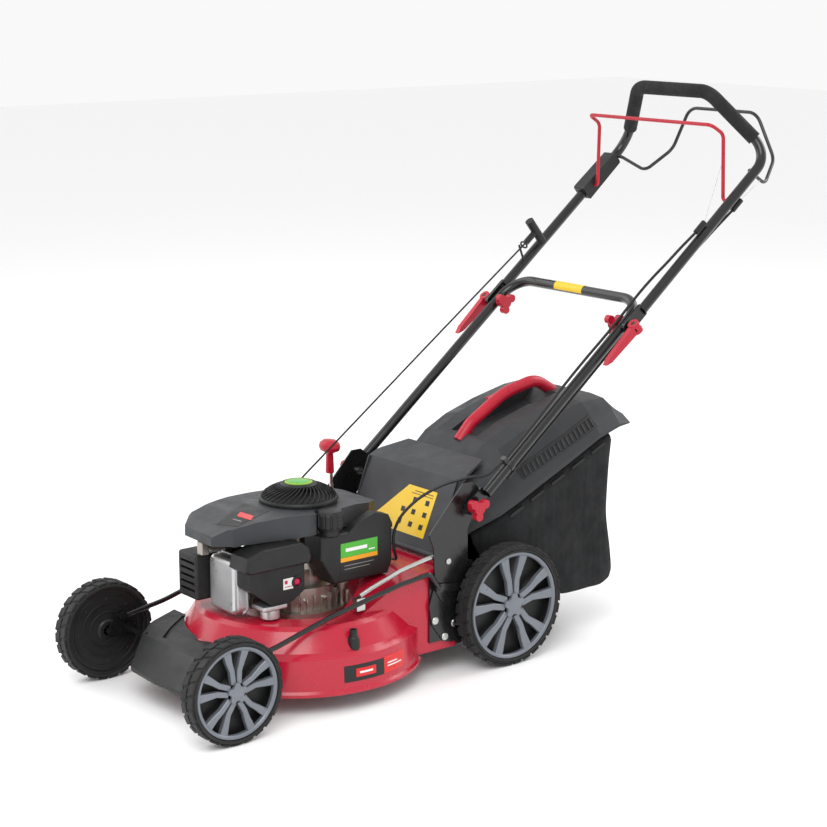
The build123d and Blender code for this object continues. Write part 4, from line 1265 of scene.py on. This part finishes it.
@dataclass
class Engine:
    """The recoil dome's slats, the cast ribs and small fittings."""

    shaft: Vector = field(default_factory=lambda: centre("crankshaft"))
    slats: int = 38
    ribs: int = 15

    def build(self) -> None:
        """Model the engine's visible detail."""
        self.dome()
        self.cap_disc()
        self.crankcase_ribs()
        self.primer_ring()
        self.rocker_flange()

    def dome_axis(self) -> Matrix:
        """The frame on the dome's axis, at the ground."""
        middle = centre("recoil_grille")
        return Matrix.Translation((middle.x, middle.y, 0))

    def dome(self) -> None:
        """The recoil dome: a base ring, curved slats and a dark bowl under them."""
        axis = self.dome_axis()
        ring = turned([(0.074, 0.352), (0.077, 0.352), (0.077, 0.368), (0.0798, 0.3685),
                       (0.0798, 0.3715), (0.0775, 0.3745), (0.0735, 0.3745), (0.0725, 0.369)],
                      steps=80)
        crown = turned([(0.0, 0.3965), (0.034, 0.3965), (0.0365, 0.3985), (0.0345, 0.4012),
                        (0.0305, 0.4026), (0.029, 0.4012), (0.0, 0.4012)], steps=64)
        line = [(0.0765, 0.3735), (0.0745, 0.3775), (0.069, 0.3838), (0.061, 0.3890),
                (0.052, 0.3932), (0.043, 0.3963), (0.034, 0.3985)]
        last = len(line) - 1
        slat = plate([(0.01 * i, -0.0012) for i in range(len(line))]
                     + [(0.01 * i, 0.0012) for i in range(last, -1, -1)], 0.0036)
        for vertex in slat.data.vertices:
            step = min(last, max(0, round(vertex.co.x / 0.01)))
            r, z = line[step]
            angle = math.radians(5.2 * step) + vertex.co.y / r
            z += vertex.co.z - 0.0030
            vertex.co = (r * math.cos(angle), r * math.sin(angle), z)
        slats = repeated(slat, [turn(360 * i / self.slats) for i in range(self.slats)])
        dome = joined([ring, crown, slats])
        put(dome, axis)
        edit(dome)
        close(dome, 0.0)
        settle(dome, "starter_dome", "chassis", Paint.PLASTIC,
               ["recoil_grille"], angle=40)
        bowl = turned([(0.0, 0.3860), (0.040, 0.3850), (0.060, 0.3780), (0.0735, 0.3670),
                       (0.0735, 0.3650), (0.059, 0.3758), (0.039, 0.3830), (0.0, 0.3840)],
                      steps=64)
        settle(put(bowl, axis), "starter_bowl", "chassis", Paint.EXHAUST)

    def cap_disc(self) -> None:
        """The green disc with its pale rim on the dome's crown."""
        axis = self.dome_axis()
        disc = turned([(0.0, 0.4012), (0.0285, 0.4012), (0.0285, 0.4020), (0.0270, 0.4028),
                       (0.012, 0.4042), (0.0, 0.4045)], steps=56)
        settle(put(disc, axis), "dome_disc", "chassis", Paint.GREEN)
        rim = turned([(0.0258, 0.4031), (0.0268, 0.4030), (0.0268, 0.4034), (0.0258, 0.4036)],
                     steps=56)
        settle(put(rim, axis), "dome_disc_rim", "chassis", Paint.YELLOW)

    def crankcase_ribs(self) -> None:
        """Cast ribs and bolt heads round the crankcase's left half."""
        ribs, bolts = [], []
        for i in range(self.ribs):
            angle = math.radians(-78 + 156 * i / (self.ribs - 1))
            out = Vector((math.cos(angle), math.sin(angle), 0))
            start = Vector((self.shaft.x, self.shaft.y, 0.176)) + out * 0.2
            place, _ = hit("crankcase", start, tuple(-out))
            matrix = facing(place, tuple(Vector((0, 0, 1)).cross(out)), (0, 0, 1))
            height = 0.026 if i % 2 else 0.034
            rib = plate([(-0.0016, -0.020), (0.0016, -0.020), (0.0014, height - 0.02),
                         (-0.0014, height - 0.02)], 0.0065, 0.0006)
            ribs.append(put(rib, matrix @ Matrix.Translation((0, 0, -0.001))))
            if i % 3 == 1:
                head = plate(hexagon(0.0048), 0.0075, 0.0005)
                bolts.append(put(head, matrix @ Matrix.Translation((0.009, 0.004, -0.001))))
        settle(joined(ribs), "crankcase_ribs", "chassis", Paint.CAST)
        settle(joined(bolts), "crankcase_bolts", "chassis", Paint.STEEL)

    def primer_ring(self) -> None:
        """The black collar round the primer button."""
        low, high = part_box("primer_bulb")
        ring = turned([(0.0083, 0.0), (0.0130, 0.0), (0.0130, 0.0016), (0.0118, 0.0026),
                       (0.0092, 0.0026), (0.0083, 0.0016)], steps=40)
        middle = (low + high) / 2
        place, _ = hit("air_filter", middle + Vector((0.1, 0.011, 0)), (-1, 0, 0))
        put(ring, facing(Vector((place.x, middle.y, middle.z)), (0, 1, 0), (0, 0, 1)))
        settle(ring, "primer_collar", "chassis", Paint.PLASTIC)

    def rocker_flange(self) -> None:
        """The rocker cover's clamping flange with its four bolts."""
        low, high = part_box("rocker_cover")
        x0, x1, z0, z1 = low.x - 0.003, high.x + 0.004, low.z - 0.003, high.z + 0.003
        cut = 0.014
        outline = [(x0 + cut, z0), (x1 - cut, z0), (x1, z0 + cut), (x1, z1 - cut),
                   (x1 - cut, z1), (x0 + cut, z1), (x0, z1 - cut), (x0, z0 + cut)]
        flange = plate(outline, 0.0035, 0.0008)
        matrix = facing(Vector((0, high.y - 0.0005, 0)), (1, 0, 0), (0, 0, 1))
        made = [put(flange, matrix)]
        for x, z in ((x0 + 0.008, z0 + 0.008), (x1 - 0.008, z0 + 0.008),
                     (x1 - 0.008, z1 - 0.008), (x0 + 0.008, z1 - 0.008)):
            head = plate(hexagon(0.0045), 0.008, 0.0005)
            made.append(put(head, matrix @ Matrix.Translation((x, z, 0))))
        settle(joined(made), "rocker_flange", "chassis", Paint.SILVER)


@dataclass
class HeightKnob:
    """The red knob on top of the height lever."""

    widen: float = 1.35

    def build(self) -> None:
        """Turn the knob and widen its head."""
        low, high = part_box("height_lever")
        top = high.z
        axis_y = FRONT_AXLE_Y + 0.551 - (top - 0.042 - 0.150) * math.tan(math.radians(7.7))
        knob = turned([(0.0, -0.0715), (0.0085, -0.0715), (0.0092, -0.069), (0.0078, -0.030),
                       (0.0115, -0.0255), (0.0185, -0.0215), (0.0205, -0.014),
                       (0.0185, -0.006), (0.0125, -0.0005), (0.0, 0.0012)], steps=40)
        for vertex in knob.data.vertices:
            if vertex.co.z > -0.028:
                vertex.co.x *= self.widen
        put(knob, Matrix.Translation((-0.166, axis_y, top)))
        bevel(knob, 0.0008, 2, limit=40)
        settle(knob, "height_knob", "height_lever", Paint.RED)


def main() -> None:
    """Build the scene in order."""
    logging.basicConfig(level=logging.INFO, format="%(message)s")
    Studio().build()
    StarterRope().build()
    dress_cad()
    for corner in ("front_left", "front_right"):
        Wheel(corner, rim=0.090, lugs=24).build()
    for corner in ("rear_left", "rear_right"):
        Wheel(corner, rim=0.113, lugs=30).build()
    Catcher().build()
    Engine().build()
    HeightKnob().build()
    Stickers().build()


if __name__ == "__main__":
    main()
